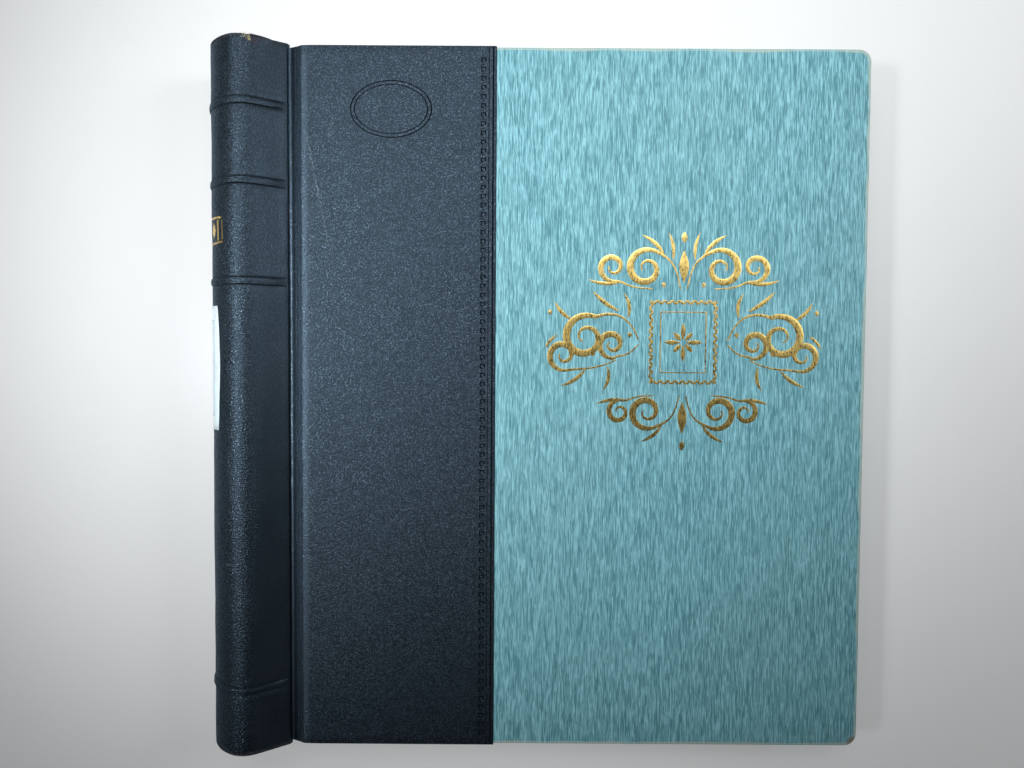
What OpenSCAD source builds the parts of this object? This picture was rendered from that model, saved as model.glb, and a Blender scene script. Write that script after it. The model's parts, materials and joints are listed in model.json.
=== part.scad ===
// Spring-back stamp album, a half-leather binder for loose album leaves.
// A C-shaped steel spring in the spine presses its two rolled lips on a pair of stiff
// levers, and the levers clamp the stubs of the leaves. Each leaf turns on a linen strip,
// and each cover turns on the leather in its joint.
// The album lies on its back cover. +X points to its fore-edge and +Y to its head, and the
// origin is on the table under the middle of its box.
// Shapes are drawn square to the leaves, with X measured from the hinge line of the covers
// and Z from the middle of the block, and placed() then lays the album on the table.

/* [Leaves] */
// Width of a leaf, with the margin that the spring clamps
leaf_w = 270; // [200:1:330]
// Height of a leaf
leaf_h = 297; // [200:1:360]
// Number of leaves, eight of which turn with the front cover
leaf_count = 30; // [20:1:60]
// Thickness of the leaf card
leaf_t = 0.45; // [0.2:0.01:0.5]
// Height of the stack that one leaf takes up
leaf_pitch = 0.7; // [0.66:0.01:1]
// Radius of the leaves' outer corners
leaf_corner_r = 3; // [0.5:0.5:10]
// Width of the margin that the spring clamps
margin_w = 24; // [20:1:28]
// Thickness of the card that stiffens the margin into a stub
stub_t = 0.5; // [0.3:0.01:0.7]
// Thickness of the linen that joins a leaf to its stub
linen_t = 0.12; // [0.08:0.01:0.14]
// Width of the linen on the leaf
linen_on_leaf = 12; // [6:1:20]
// Width of the linen on the stub
linen_on_stub = 8; // [4:1:14]

/* [Levers] */
// Thickness of the two levers that clamp the stubs
lever_t = 1; // [0.8:0.1:2]
// How far a lever stands past the leaves at head and tail
lever_over = 3; // [0:0.5:6]

/* [Boards] */
// Thickness of the millboard in each cover
board_t = 3; // [2:0.1:4]
// How far the covers stand past the leaves at head and tail
square_w = 9; // [6:0.5:16]
// How far the covers stand past the leaves at the fore-edge
fore_square_w = 13.5; // [6:0.5:20]
// Radius of the boards' outer corners
corner_r = 5.2; // [1:0.1:15]
// Slope of the bevel along the boards' spine edge
bevel_angle = 38; // [30:1:45]
// Distance from the hinge line to the foot of the bevel
bevel_foot = 1.5; // [1.2:0.1:4]

/* [Covering] */
// Thickness of the leather on the spine and the boards
leather_t = 0.8; // [0.6:0.05:1.2]
// Thickness of the leather where it is pared to turn in or to flex
pared_t = 0.5; // [0.3:0.05:0.6]
// Width of the leather on a cover, from the hinge line
leather_w = 93; // [40:1:150]
// Thickness of the cover paper and of the pastedown
paper_t = 0.3; // [0.15:0.05:0.5]
// Width of the turn-ins behind the boards and in the spine
turn_in = 15; // [8:1:25]
// Width of the cloth that lines a cover's joint
joint_cloth_w = 19; // [10:1:40]

/* [Spine] */
// Depth of the spine behind the hinge line
spine_depth = 38; // [36:0.5:46]
// Height of the spine's shoulders above the covers
shoulder_rise = 9.9; // [8:0.1:13]
// Outer radius of the shoulders
shoulder_r = 10; // [9:0.1:11]
// Slope of the flanks that run down to the lips
flank_slope = 39; // [36:1:44]
// How far the spine stands past the boards at head and tail
spine_over = 1.7; // [0:0.1:5]
// Thickness of the spring steel
spring_t = 0.9; // [0.5:0.05:1.1]
// Radius of the roll along the spring's lips
roll_r = 0.8; // [0.6:0.05:0.85]
// How far the leather of a lip stands out from the flank
lip_over = 0.1; // [0.05:0.05:0.3]
// Distance of the lips behind the hinge line
lip_back = 1.9; // [1.8:0.1:4]
// Thickness of the paper that lines the spring
lining_t = 0.3; // [0.15:0.05:0.5]
// Diameter of the cords under the leather caps at head and tail
cord_d = 1.2; // [0.8:0.1:1.3]

/* [Raised bands] */
// Height of the bands on the spine
band_h = 0.6; // [0.4:0.1:0.7]
// Width of a band at its foot
band_w = 3.6; // [2.8:0.1:6]
// Distance from the head of the spine to the first band
first_band = 28.1; // [20:0.1:40]
// Distance from the head of the spine to the second band
second_band = 62.5; // [50:0.1:80]
// Distance from the head of the spine to the third band
third_band = 106.3; // [90:0.1:112]
// Distance from the tail of the spine to the last band
last_band = 29.2; // [20:0.1:40]
// How far the bands stop short of the lips
band_stop = 3; // [2:0.1:6]

/* [Spine label] */
// Height of the blank label
label_h = 55.6; // [30:0.1:60]
// Width of the label, round the spine
label_w = 45; // [20:0.5:46]
// Thickness of the label
label_t = 0.2; // [0.1:0.05:0.3]
// Distance from the head of the spine to the middle of the label
label_place = 145; // [142:1:160]

/* [Hidden] */
// Film of paste between pieces that are glued face to face
paste = 0.05;
// Flat that the clamping force presses into the leather of a lip
lip_flat = 0.15;
// Play between the levers and the covers, and between neighbouring stubs
lever_play = 0.1;
stub_play = 0.04;
// Play over the top leaf and between a leaf's linen and the leaf above it
block_play = 0.5;
leaf_play = 0.02;
// Half of the gap that divides a hinge strip between the two bodies that it joins
hinge_gap = 0.15;
// Half of the gap between a leaf and its stub, where the linen folds
fold_gap = 0.8;
// Distance from the hinge line to the first leaf's fold, and from each fold to the next
first_fold = 3;
fold_step = 0.65;
// Blunt edge left at the foot of a board's bevel
bevel_blunt = 2.6;
// How far the levers reach past the hinge line
lever_front = 1.6;
// Radius of the levers' corners in plan
lever_corner_r = 3;
// Distance from the lips at which the lining and the turned-in leather end
lining_stop = 5;

TURNING = 8;
SHOULDER_STEPS = 10;
BACK_STEPS = 10;
CORD_SIDES = 8;
SIDES = [1, -1];
STATIC_LEAVES = [TURNING : leaf_count - 1];
TURNING_LEAVES = [0 : TURNING - 1];

// Leaves, from the clamped margin to the fore-edge
leaf_front = leaf_w - margin_w;
stub_pitch = stub_t + linen_t + stub_play;
block_top = leaf_count * leaf_pitch / 2;
clamp_top = leaf_count * stub_pitch / 2;
lever_top = clamp_top + lever_t;
lever_h = leaf_h + 2 * lever_over;

// Covers, from the pastedown outwards
inner_z = max(lever_top + lever_play, block_top + block_play);
board_z = inner_z + paper_t;
board_top = board_z + board_t;
leather_z = board_top + leather_t;
paper_z = board_top + paper_t;
joint_t = leather_t - lever_play;
hinge_z = inner_z + joint_t;
fore_x = leaf_front + fore_square_w;
board_h = leaf_h + 2 * square_w;
core_h = board_h - 2 * paper_t;
core_x = fore_x - paper_t;
window_h = core_h - 2 * turn_in;
bevel_run = 1 / tan(bevel_angle);
bevel_top_x = bevel_foot + (leather_z - hinge_z) * bevel_run;
core_bevel = bevel_foot + leather_t / sin(bevel_angle);

// Section of the spine: a back arc, two shoulders and two straight flanks
lip_depth = leather_t + paste + spring_t / 2;
lip_r = lip_depth + lip_over;
lip_z = lever_top + lip_r - lip_flat;
shoulder_z = leather_z + shoulder_rise - shoulder_r;
shoulder_x = -lip_back - (shoulder_r - lip_depth - (lip_z - shoulder_z) * cos(flank_slope))
    / sin(flank_slope);
back_reach = spine_depth - shoulder_r;
back_x = (pow(shoulder_x, 2) + pow(shoulder_z, 2) - pow(back_reach, 2))
    / (2 * (back_reach + shoulder_x));
back_r = spine_depth + back_x;
shoulder_end = atan2(shoulder_z, shoulder_x - back_x);
flank_normal = [sin(flank_slope), cos(flank_slope)];
flank_run = [cos(flank_slope), -sin(flank_slope)];
flank_len = [-lip_back - shoulder_x, lip_z - shoulder_z] * flank_run;
spine_h = board_h + 2 * spine_over;

// Layers of the spine's wall, as depths under its outer face
spring_in = leather_t + paste;
lining_in = spring_in + spring_t + paste;
cap_in = lining_in + lining_t + paste;
wall_t = cap_in + pared_t;
spring_h = spine_h - 2 * (leather_t + cord_d + 2 * paste);
cord_in = (leather_t + cap_in) / 2;
cord_y = (spring_h + cord_d) / 2 + paste;
band_core_in = leather_t - band_h;
band_core_w = band_w - 2 * leather_t;
band_places = [spine_h / 2 - first_band, spine_h / 2 - second_band, spine_h / 2 - third_band,
    last_band - spine_h / 2];
label_y = spine_h / 2 - label_place;
label_half_angle = label_w / back_r * 90 / PI;

// The album lies on the bands of its spine and on the fore-edge of its back cover
foot_r = shoulder_r + band_h;
fore_arm = [fore_x - shoulder_x, shoulder_z - paper_z];
tilt = asin(foot_r / norm(fore_arm)) + atan2(fore_arm.y, fore_arm.x);
rest_z = shoulder_z * cos(tilt) + shoulder_x * sin(tilt) + foot_r;
left_x = back_x * cos(tilt) - back_r - band_h;
right_x = fore_x * cos(tilt) + paper_z * sin(tilt);
centre_x = (left_x + right_x) / 2;

$fn = 96;

// Lays the album on the table, with the origin under the middle of its box
module placed() translate([-centre_x, 0, rest_z]) rotate([0, tilt, 0]) children();

// Draws its children, an upper piece, on the back cover's side instead when side is -1
module on_side(side) mirror([0, 0, side < 0 ? 1 : 0]) children();

// Extrudes a section, drawn as X and Z, along the spine
module along_spine(length, y = 0)
    translate([0, y, 0]) rotate([90, 0, 0]) linear_extrude(length, center = true) children();

// Extrudes a plan, drawn as X and Y, from one height to another
module slab(z0, z1) translate([0, 0, z0]) linear_extrude(z1 - z0) children();

// Plan from x0 to x1, with its two corners at x1 rounded
module plan(x0, x1, height, r) {
    translate([x0, -height / 2]) square([x1 - x0 - r, height]);
    translate([x0, r - height / 2]) square([x1 - x0, height - 2 * r]);
    for (side = SIDES) translate([x1 - r, side * (height / 2 - r)]) circle(r);
}

// Points on an arc, after its first point
function arc(centre, r, a0, a1, steps) = [for (i = [1 : steps])
    centre + r * [cos(a0 + (a1 - a0) * i / steps), sin(a0 + (a1 - a0) * i / steps)]];

// Upper half of a line at one depth under the spine's outer face, from lip to back.
// It starts short of the lip by stop.
function upper_wall(depth, stop) = let (
        shoulder = [shoulder_x, shoulder_z],
        shoulder_top = shoulder + flank_normal * (shoulder_r - depth))
    concat(
        [shoulder_top + flank_run * (flank_len - stop), shoulder_top],
        arc(shoulder, shoulder_r - depth, 90 - flank_slope, shoulder_end, SHOULDER_STEPS),
        arc([back_x, 0], back_r - depth, shoulder_end, 180, BACK_STEPS));

// The same line from the upper lip, round the back, to the lower lip
function wall_line(depth, stop) = let (upper = upper_wall(depth, stop))
    concat(upper, [for (i = [len(upper) - 2 : -1 : 0]) [upper[i].x, -upper[i].y]]);

function reversed(points) = [for (i = [len(points) - 1 : -1 : 0]) points[i]];

// Section of one layer of the spine's wall, between two depths, ending short of the lips
module wall_strip(out, in, stop = 0)
    polygon(concat(wall_line(out, stop), reversed(wall_line(in, stop))));

// Draws its children at each lip
module at_lips() for (side = SIDES) translate([-lip_back, side * lip_z]) children();

// ---- Spine ----

module spine_spring() placed() color("dimgray") along_spine(spring_h) {
    wall_strip(spring_in, spring_in + spring_t, -roll_r / 2);
    at_lips() circle(roll_r);
}

module spine_lining() placed() color("burlywood")
    along_spine(spring_h) wall_strip(lining_in, lining_in + lining_t, lining_stop);

// Outline of the leather: a strip of wall, the two lips and the two joint flaps
module leather_outline(depth) difference() {
    union() {
        wall_strip(0, depth);
        at_lips() circle(lip_r);
        for (side = SIDES) mirror([0, side < 0 ? 1 : 0])
            translate([-lip_back, inner_z]) square([lip_back - hinge_gap, joint_t]);
    }
    translate([-2 * lip_back, -lever_top]) square([2 * lip_back, 2 * lever_top]);
}

// Leather with room for the spring and its rolled lips
module leather_section() difference() {
    leather_outline(leather_t);
    wall_strip(spring_in - paste, spring_in + spring_t + paste);
    at_lips() circle(roll_r + paste);
}

module spine_leather() placed() color("#262b33") {
    difference() {
        union() {
            along_spine(spine_h - 2 * leather_t) leather_section();
            for (y = band_places) {
                along_spine(band_w, y) wall_strip(-band_h / 2, leather_t / 2, band_stop);
                along_spine(band_w - 2 * band_h, y)
                    wall_strip(-band_h, -band_h / 4, band_stop + band_h);
            }
        }
        for (y = band_places)
            along_spine(band_core_w + 2 * paste, y)
                wall_strip(band_core_in - paste, leather_t + paste, band_stop + leather_t);
    }
    // Caps over the two cords, turned in over the lining
    for (side = SIDES) {
        along_spine(leather_t, side * (spine_h - leather_t) / 2) leather_outline(wall_t);
        along_spine(turn_in, side * (spine_h - turn_in) / 2) wall_strip(cap_in, wall_t, lining_stop);
    }
}

// Strips of card that make the raised bands under the leather
module raised_bands() placed() color("tan")
    for (y = band_places)
        along_spine(band_core_w, y) wall_strip(band_core_in, leather_t, band_stop + leather_t + paste);

// Cord that stiffens the leather cap, along the end of the spring
module cap_cord(y) {
    path = wall_line(cord_in, lip_r);
    last = len(path) - 1;
    points = [for (i = [0 : last])
        let (run = path[min(i + 1, last)] - path[max(i - 1, 0)], out = [-run.y, run.x] / norm(run))
        for (k = [0 : CORD_SIDES - 1])
            let (rise = cord_d / 2 * cos(360 * k / CORD_SIDES))
            [path[i].x + rise * out.x, y + cord_d / 2 * sin(360 * k / CORD_SIDES),
                path[i].y + rise * out.y]];
    sides = [for (i = [0 : last - 1], k = [0 : CORD_SIDES - 1])
        let (a = i * CORD_SIDES, next = (k + 1) % CORD_SIDES)
        [a + k, a + next, a + CORD_SIDES + next, a + CORD_SIDES + k]];
    ends = [
        [for (k = [CORD_SIDES - 1 : -1 : 0]) k],
        [for (k = [0 : CORD_SIDES - 1]) last * CORD_SIDES + k]];
    placed() color("#c9b458") polyhedron(points, concat(sides, ends));
}

// Part of a ring between two angles under 180 degrees apart
module ring_sector(r_out, r_in, a0, a1) {
    far = 3 * r_out;
    mid = (a0 + a1) / 2;
    intersection() {
        difference() {
            circle(r_out);
            circle(r_in);
        }
        polygon([[0, 0], far * [cos(a0), sin(a0)], far * [cos(mid), sin(mid)],
            far * [cos(a1), sin(a1)]]);
    }
}

module spine_label() placed() color("white") along_spine(label_h, label_y) translate([back_x, 0])
    ring_sector(back_r + paste + label_t, back_r + paste, 180 - label_half_angle,
        180 + label_half_angle);

// ---- Clamp ----

module lever(side) placed() color("#6b7178") on_side(side) slab(clamp_top, lever_top)
    plan(-margin_w, lever_front, lever_h, lever_corner_r);

// ---- Leaves, counted from the top ----

function fold_x(i) = first_fold + fold_step * min(i, TURNING - 1);
function stub_top(i) = clamp_top - i * stub_pitch;
function linen_top(i) = block_top - leaf_play - i * leaf_pitch;
function fold_z(i) = linen_top(i) - linen_t / 2;

module leaf_card(i) slab(linen_top(i) - linen_t - leaf_t, linen_top(i) - linen_t)
    plan(fold_x(i) + fold_gap, leaf_front, leaf_h, leaf_corner_r);

module stub_block() placed() color("#c8bfa4") for (i = [0 : leaf_count - 1])
    translate([-margin_w, -leaf_h / 2, stub_top(i) - linen_t - stub_t])
        cube([fold_x(i) - fold_gap + margin_w, leaf_h, stub_t]);

// Linen on the stub of leaf i, which climbs from there to the leaf's fold
module linen_on_stub_section(i, end_x, end_z) polygon([
    [fold_x(i) - linen_on_stub, stub_top(i) - linen_t],
    [fold_x(i) - fold_gap, stub_top(i) - linen_t],
    [end_x, end_z - linen_t],
    [end_x, end_z],
    [fold_x(i) - fold_gap, stub_top(i)],
    [fold_x(i) - linen_on_stub, stub_top(i)]]);

module stub_linen() placed() color("#b9ad8c") for (i = TURNING_LEAVES)
    along_spine(leaf_h) linen_on_stub_section(i, fold_x(i) - hinge_gap, linen_top(i));

module leaf_block() placed() color("#efe6cf") for (i = STATIC_LEAVES) leaf_card(i);

module leaf_block_linen() placed() color("#b9ad8c") for (i = STATIC_LEAVES)
    along_spine(leaf_h) {
        linen_on_stub_section(i, fold_x(i) + fold_gap, linen_top(i));
        translate([fold_x(i) + fold_gap, linen_top(i) - linen_t])
            square([linen_on_leaf - fold_gap, linen_t]);
    }

module turning_leaf(i) placed() color("#efe6cf") leaf_card(i);

module turning_linen(i) placed() color("#b9ad8c") along_spine(leaf_h)
    translate([fold_x(i) + hinge_gap, linen_top(i) - linen_t])
        square([linen_on_leaf - hinge_gap, linen_t]);

// ---- Covers ----

// Section of the board, with the bevel along its spine edge
module board_section() polygon([
    [bevel_blunt, board_z],
    [bevel_blunt, hinge_z + (bevel_blunt - core_bevel) / bevel_run],
    [core_bevel + (board_top - hinge_z) * bevel_run, board_top],
    [core_x, board_top],
    [core_x, board_z]]);

module board_core() intersection() {
    along_spine(core_h) board_section();
    slab(board_z, board_top) plan(0, core_x, core_h, corner_r);
}

module board(side) placed() color("#8f7d5c") on_side(side) board_core();

// Leather from the hinge line over the bevel and the board, turned in at head and tail
module cover_leather(side) placed() color("#262b33") on_side(side) difference() {
    along_spine(core_h + 2 * leather_t) polygon([
        [hinge_gap, inner_z],
        [hinge_gap, hinge_z],
        [bevel_foot, hinge_z],
        [bevel_top_x, leather_z],
        [leather_w, leather_z],
        [leather_w, inner_z]]);
    along_spine(core_h) board_section();
    translate([bevel_blunt, -window_h / 2, inner_z - 1])
        cube([leather_w, window_h, 1 + board_z - inner_z]);
}

// Paper from the leather to the fore-edge, turned in on three sides
module cover_paper(side) placed() color("#5b9ba3") on_side(side) difference() {
    slab(inner_z, paper_z) plan(leather_w, fore_x, board_h, corner_r + paper_t);
    slab(board_z, board_top) plan(0, core_x, core_h, corner_r);
    translate([0, -window_h / 2, inner_z - 1])
        cube([core_x - turn_in, window_h, 1 + board_z - inner_z]);
}

module pastedown(side) placed() color("#d9cfb4") on_side(side)
    translate([bevel_blunt + joint_cloth_w + paste, paste - window_h / 2, inner_z])
        cube([core_x - turn_in - bevel_blunt - joint_cloth_w - 2 * paste,
            window_h - 2 * paste, paper_t]);

// Cloth that lines the joint on the inside of the board
module joint_cloth(side) placed() color("#3b3f45") on_side(side)
    translate([bevel_blunt + paste, paste - window_h / 2, inner_z])
        cube([joint_cloth_w - paste, window_h - 2 * paste, paper_t]);

spine_spring();
spine_lining();
spine_leather();
raised_bands();
cap_cord(cord_y);  // head_cord
cap_cord(-cord_y);  // tail_cord
spine_label();
lever(1);  // front_lever
lever(-1);  // back_lever
stub_block();
stub_linen();
leaf_block();
leaf_block_linen();
board(1);  // front_board
cover_leather(1);  // front_leather
cover_paper(1);  // front_paper
pastedown(1);  // front_pastedown
joint_cloth(1);  // front_joint_cloth
board(-1);  // back_board
cover_leather(-1);  // back_leather
cover_paper(-1);  // back_paper
pastedown(-1);  // back_pastedown
joint_cloth(-1);  // back_joint_cloth
turning_leaf(0);  // flyleaf
turning_linen(0);  // flyleaf_linen
turning_leaf(1);  // title_leaf
turning_linen(1);  // title_leaf_linen
turning_leaf(2);  // leaf_1
turning_linen(2);  // leaf_1_linen
turning_leaf(3);  // leaf_2
turning_linen(3);  // leaf_2_linen
turning_leaf(4);  // leaf_3
turning_linen(4);  // leaf_3_linen
turning_leaf(5);  // leaf_4
turning_linen(5);  // leaf_4_linen
turning_leaf(6);  // leaf_5
turning_linen(6);  // leaf_5_linen
turning_leaf(7);  // leaf_6
turning_linen(7);  // leaf_6_linen
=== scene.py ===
import json
import math
import random

import bmesh
import bpy
from bpy.props import FloatProperty, FloatVectorProperty, IntProperty, PointerProperty
from mathutils import Matrix, Vector

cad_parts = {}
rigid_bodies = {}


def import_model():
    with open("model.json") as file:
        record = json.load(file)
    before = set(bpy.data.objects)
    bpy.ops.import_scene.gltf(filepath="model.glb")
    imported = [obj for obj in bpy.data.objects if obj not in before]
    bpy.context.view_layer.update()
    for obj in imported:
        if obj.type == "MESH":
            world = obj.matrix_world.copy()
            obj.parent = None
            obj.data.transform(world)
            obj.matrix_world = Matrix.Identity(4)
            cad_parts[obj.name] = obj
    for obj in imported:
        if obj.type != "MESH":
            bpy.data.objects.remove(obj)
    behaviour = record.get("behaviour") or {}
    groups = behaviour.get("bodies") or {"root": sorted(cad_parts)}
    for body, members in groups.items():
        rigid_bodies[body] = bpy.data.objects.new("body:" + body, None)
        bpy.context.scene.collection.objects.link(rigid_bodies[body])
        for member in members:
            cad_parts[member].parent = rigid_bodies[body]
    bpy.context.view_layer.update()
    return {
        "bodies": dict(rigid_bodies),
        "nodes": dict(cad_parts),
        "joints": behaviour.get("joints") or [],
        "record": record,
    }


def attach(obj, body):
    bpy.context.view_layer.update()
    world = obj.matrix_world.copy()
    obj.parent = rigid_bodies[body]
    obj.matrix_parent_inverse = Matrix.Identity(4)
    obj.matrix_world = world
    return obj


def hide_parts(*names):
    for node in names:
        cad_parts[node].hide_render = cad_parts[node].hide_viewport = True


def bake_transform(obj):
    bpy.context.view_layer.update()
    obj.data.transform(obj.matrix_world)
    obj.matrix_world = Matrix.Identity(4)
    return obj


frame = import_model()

bl_info = {
    "name": "Spring-back stamp album",
    "version": (1, 0, 0),
    "blender": (4, 5, 0),
    "location": "View3D > Sidebar > Album",
    "description": "Covers, leaves, gold and finishes of a spring-back stamp album",
    "category": "Object",
}

MM = 0.001
SIDES = {"front": 1, "back": -1}
TURNING = ("flyleaf", "title_leaf", "leaf_1", "leaf_2", "leaf_3", "leaf_4", "leaf_5", "leaf_6")

# ---- The bench frame, square to the leaves ----

hinges = {j["name"]: Vector(j["pos_m"]) for j in frame["joints"]}
UP = (hinges["front_cover_hinge"] - hinges["back_cover_hinge"]).normalized()
ALONG = Vector((UP.z, 0, -UP.x))
MIDDLE = (hinges["front_cover_hinge"] + hinges["back_cover_hinge"]) / 2
TURN = Matrix((ALONG, (0, 1, 0), UP)).transposed()
PLACE = Matrix.Translation(MIDDLE) @ TURN.to_4x4()
BENCH = PLACE.inverted()


def bench_box(node):
    """Lowest and highest corner of a CAD node, square to the leaves."""
    points = [BENCH @ v.co for v in frame["nodes"][node].data.vertices]
    return [Vector([pick(p[i] for p in points) for i in range(3)]) for pick in (min, max)]


# ---- Sizes and colours ----


def length(name, default, description):
    return FloatProperty(name=name, description=description, default=default, min=0, unit="LENGTH")


def colour(name, default, description):
    return FloatVectorProperty(
        name=name, description=description, default=default, size=3, subtype="COLOR", min=0, max=1
    )


class AlbumSizes(bpy.types.PropertyGroup):
    shoulder_radius: length("Shoulder radius", 10 * MM, "Outer radius of the spine's shoulders")
    shoulder_rise: length("Shoulder rise", 9.9 * MM, "Height of the shoulders above the covers")
    flank_slope: FloatProperty(
        name="Flank slope", description="Slope of the spine's flanks",
        default=math.radians(39), subtype="ANGLE",
    )
    lip_radius: length("Lip radius", 1.4 * MM, "Outer radius of the spine's lips")
    lip_back: length("Lip setback", 1.9 * MM, "Distance of the lips behind the hinge line")
    wall: length("Wall", 2.65 * MM, "Thickness of the spine's wall at head and tail")
    leather: length("Leather", 0.5 * MM, "Thickness of the pared leather")
    turn_in: length("Turn-in", 15 * MM, "Width of the turn-ins")
    band_height: length("Band height", 0.6 * MM, "Height of the raised bands")
    band_width: length("Band width", 3.6 * MM, "Width of a raised band at its foot")
    bevel_foot: length("Bevel foot", 1.5 * MM, "Distance from the hinge line to a board's bevel")
    bevel_angle: FloatProperty(
        name="Bevel slope", description="Slope of the bevel along a board's spine edge",
        default=math.radians(38), subtype="ANGLE",
    )
    corner: length("Corner radius", 5.5 * MM, "Radius of the covers' outer corners")
    soft_edge: length("Leather edge", 0.9 * MM, "Roundness of the leather over a board's edge")
    crisp_edge: length("Paper edge", 0.55 * MM, "Roundness of the paper over a board's edge")
    tooling: length("Tooling depth", 0.22 * MM, "Depth of the blind tooling in the leather")
    foil: length("Foil", 0.07 * MM, "Thickness of the gold tooling")
    seed: IntProperty(name="Seed", description="Varies the leaves' lie and the wear", default=7)


class AlbumColours(bpy.types.PropertyGroup):
    leather: colour("Leather", (0.0042, 0.0050, 0.0060), "Black leather")
    leather_rub: colour("Rubbed leather", (0.055, 0.040, 0.035), "Leather worn through its dye")
    paper_light: colour("Paper, light streaks", (0.30, 0.62, 0.69), "Light streaks of the paper")
    paper_mid: colour("Paper", (0.155, 0.385, 0.44), "Ground of the cover paper")
    paper_dark: colour("Paper, dark streaks", (0.055, 0.205, 0.245), "Dark streaks of the paper")
    paper_rub: colour("Rubbed paper", (0.50, 0.56, 0.47), "Cover paper worn pale along its edges")
    board: colour("Millboard", (0.23, 0.17, 0.11), "Millboard that shows at worn corners")
    gold: colour("Gold", (0.87, 0.62, 0.20), "Gold foil")
    leaf: colour("Leaf card", (0.80, 0.75, 0.62), "Album card")
    leaf_toned: colour("Toned card", (0.68, 0.58, 0.41), "Card browned along its edges")
    ink: colour("Ink", (0.16, 0.17, 0.19), "Grey ink of the stamp frames")
    linen: colour("Linen", (0.56, 0.50, 0.38), "Unbleached linen")
    cloth: colour("Joint cloth", (0.035, 0.04, 0.05), "Dark book cloth")
    lining: colour("Lining paper", (0.42, 0.30, 0.17), "Brown lining paper")
    # The label is white paper whose colour carries a blue-green cast, which is painted light
    # standing in for light thrown on it by the teal surroundings.
    label: colour("Label paper", (0.77, 0.89, 0.94), "White label paper")
    thread: colour("Thread", (0.86, 0.78, 0.46), "Yellow cotton of the cap cords")
    steel: colour("Steel", (0.30, 0.31, 0.33), "Spring steel")
    enamel: colour("Enamel", (0.03, 0.03, 0.035), "Black enamel on the levers")
    floor: colour("Floor", (0.76, 0.755, 0.745), "Pale floor")


def sizes():
    return bpy.context.scene.album_sizes


def colours():
    return bpy.context.scene.album_colours


def shade_of(rgb, share):
    """A colour at a share of its brightness."""
    return [v * share for v in rgb]


# ---- Modelling ----

MODES = {"verts": "VERT", "edges": "EDGE", "faces": "FACE"}


def clear_selection():
    if bpy.context.object and bpy.context.object.mode != "OBJECT":
        bpy.ops.object.mode_set(mode="OBJECT")
    bpy.ops.object.select_all(action="DESELECT")


def hold(*pieces):
    """Selects pieces and nothing else, with the first one active."""
    clear_selection()
    for piece in pieces:
        piece.select_set(True)
    bpy.context.view_layer.objects.active = pieces[0]


def work_on(piece):
    """Opens a piece for editing again."""
    hold(piece)
    bpy.ops.object.mode_set(mode="EDIT")


def close():
    """Ends the editing of the open piece."""
    bpy.ops.object.mode_set(mode="OBJECT")


def select_all():
    bpy.ops.mesh.select_all(action="SELECT")


def move(x, y, z):
    """Moves the selected part of the open piece."""
    bpy.ops.transform.translate(value=(x, y, z))


def stretch(x, y, z, about=(0, 0, 0)):
    """Stretches the selected part of the open piece about a point."""
    bpy.ops.transform.resize(value=(x, y, z), center_override=tuple(about))


def extrude(step):
    bpy.ops.mesh.extrude_region_move(TRANSFORM_OT_translate={"value": step})


def face_towards(way, share=0.0):
    """Makes the faces of the open sheet agree, so that one of them looks a given way."""
    select_all()
    bpy.ops.mesh.normals_make_consistent(inside=False)
    mesh = bmesh.from_edit_mesh(bpy.context.edit_object.data)
    mesh.faces.ensure_lookup_table()
    if mesh.faces[int(len(mesh.faces) * share)].normal.dot(Vector(way)) < 0:
        bpy.ops.mesh.flip_normals()


def begin(name, primitive, **settings):
    """Adds a primitive as a new piece, and opens it for editing."""
    clear_selection()
    primitive(**settings)
    piece = bpy.context.object
    piece.name = piece.data.name = name
    bpy.ops.object.transform_apply(location=True, rotation=True, scale=True)
    bpy.ops.object.mode_set(mode="EDIT")
    return piece


def block(name, low, high):
    """A box between two corners, open for editing."""
    low, high = Vector(low), Vector(high)
    return begin(
        name, bpy.ops.mesh.primitive_cube_add, size=1, location=(low + high) / 2, scale=high - low
    )


def pick(kind, test):
    """Selects the vertices, edges or faces of the open piece that pass the test."""
    piece = bpy.context.edit_object
    bpy.context.tool_settings.mesh_select_mode = [kind == k for k in MODES]
    mesh = bmesh.from_edit_mesh(piece.data)
    mesh.select_mode = {MODES[kind]}
    for group in (mesh.verts, mesh.edges, mesh.faces):
        for part in group:
            part.select_set(False)
    found = [part for part in getattr(mesh, kind) if test(part)]
    for part in found:
        part.select_set(True)
    mesh.select_flush_mode()
    bmesh.update_edit_mesh(piece.data)
    return len(found)


def middle(part):
    return sum((v.co for v in part.verts), Vector()) / len(part.verts)


def runs_along(edge, axis):
    """Whether an edge runs along an axis, 0 to 2."""
    run = edge.verts[1].co - edge.verts[0].co
    return abs(run[axis]) > 0.99 * run.length > 0


def cut(axis, place):
    """Cuts the whole open piece by the plane at that place on an axis."""
    select_all()
    point, normal = Vector(), Vector()
    point[axis], normal[axis] = place, 1
    bpy.ops.mesh.bisect(plane_co=point, plane_no=normal, threshold=1e-7)


def merge():
    select_all()
    bpy.ops.mesh.remove_doubles(threshold=1e-6)


def shaped(piece, kind, **settings):
    """Applies a modifier to a piece."""
    hold(piece)
    modifier = piece.modifiers.new(kind.title(), kind)
    for name, value in settings.items():
        setattr(modifier, name, value)
    bpy.ops.object.modifier_apply(modifier=modifier.name)
    return piece


def joined(name, pieces):
    """Joins pieces into the first one."""
    hold(*pieces)
    if len(pieces) > 1:
        bpy.ops.object.join()
    pieces[0].name = pieces[0].data.name = name
    return pieces[0]


def done(piece, material, smooth=35, replaced=()):
    """Shades a finished piece, lays it on the table and gives it its finish."""
    hold(piece)
    bpy.ops.object.shade_smooth_by_angle(angle=math.radians(smooth))
    piece.matrix_world = PLACE
    bpy.ops.object.transform_apply(location=True, rotation=True, scale=True)
    piece.data.materials.clear()
    piece.data.materials.append(material)
    if replaced:
        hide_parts(*replaced)
    return piece


# ---- Shading ----


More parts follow.
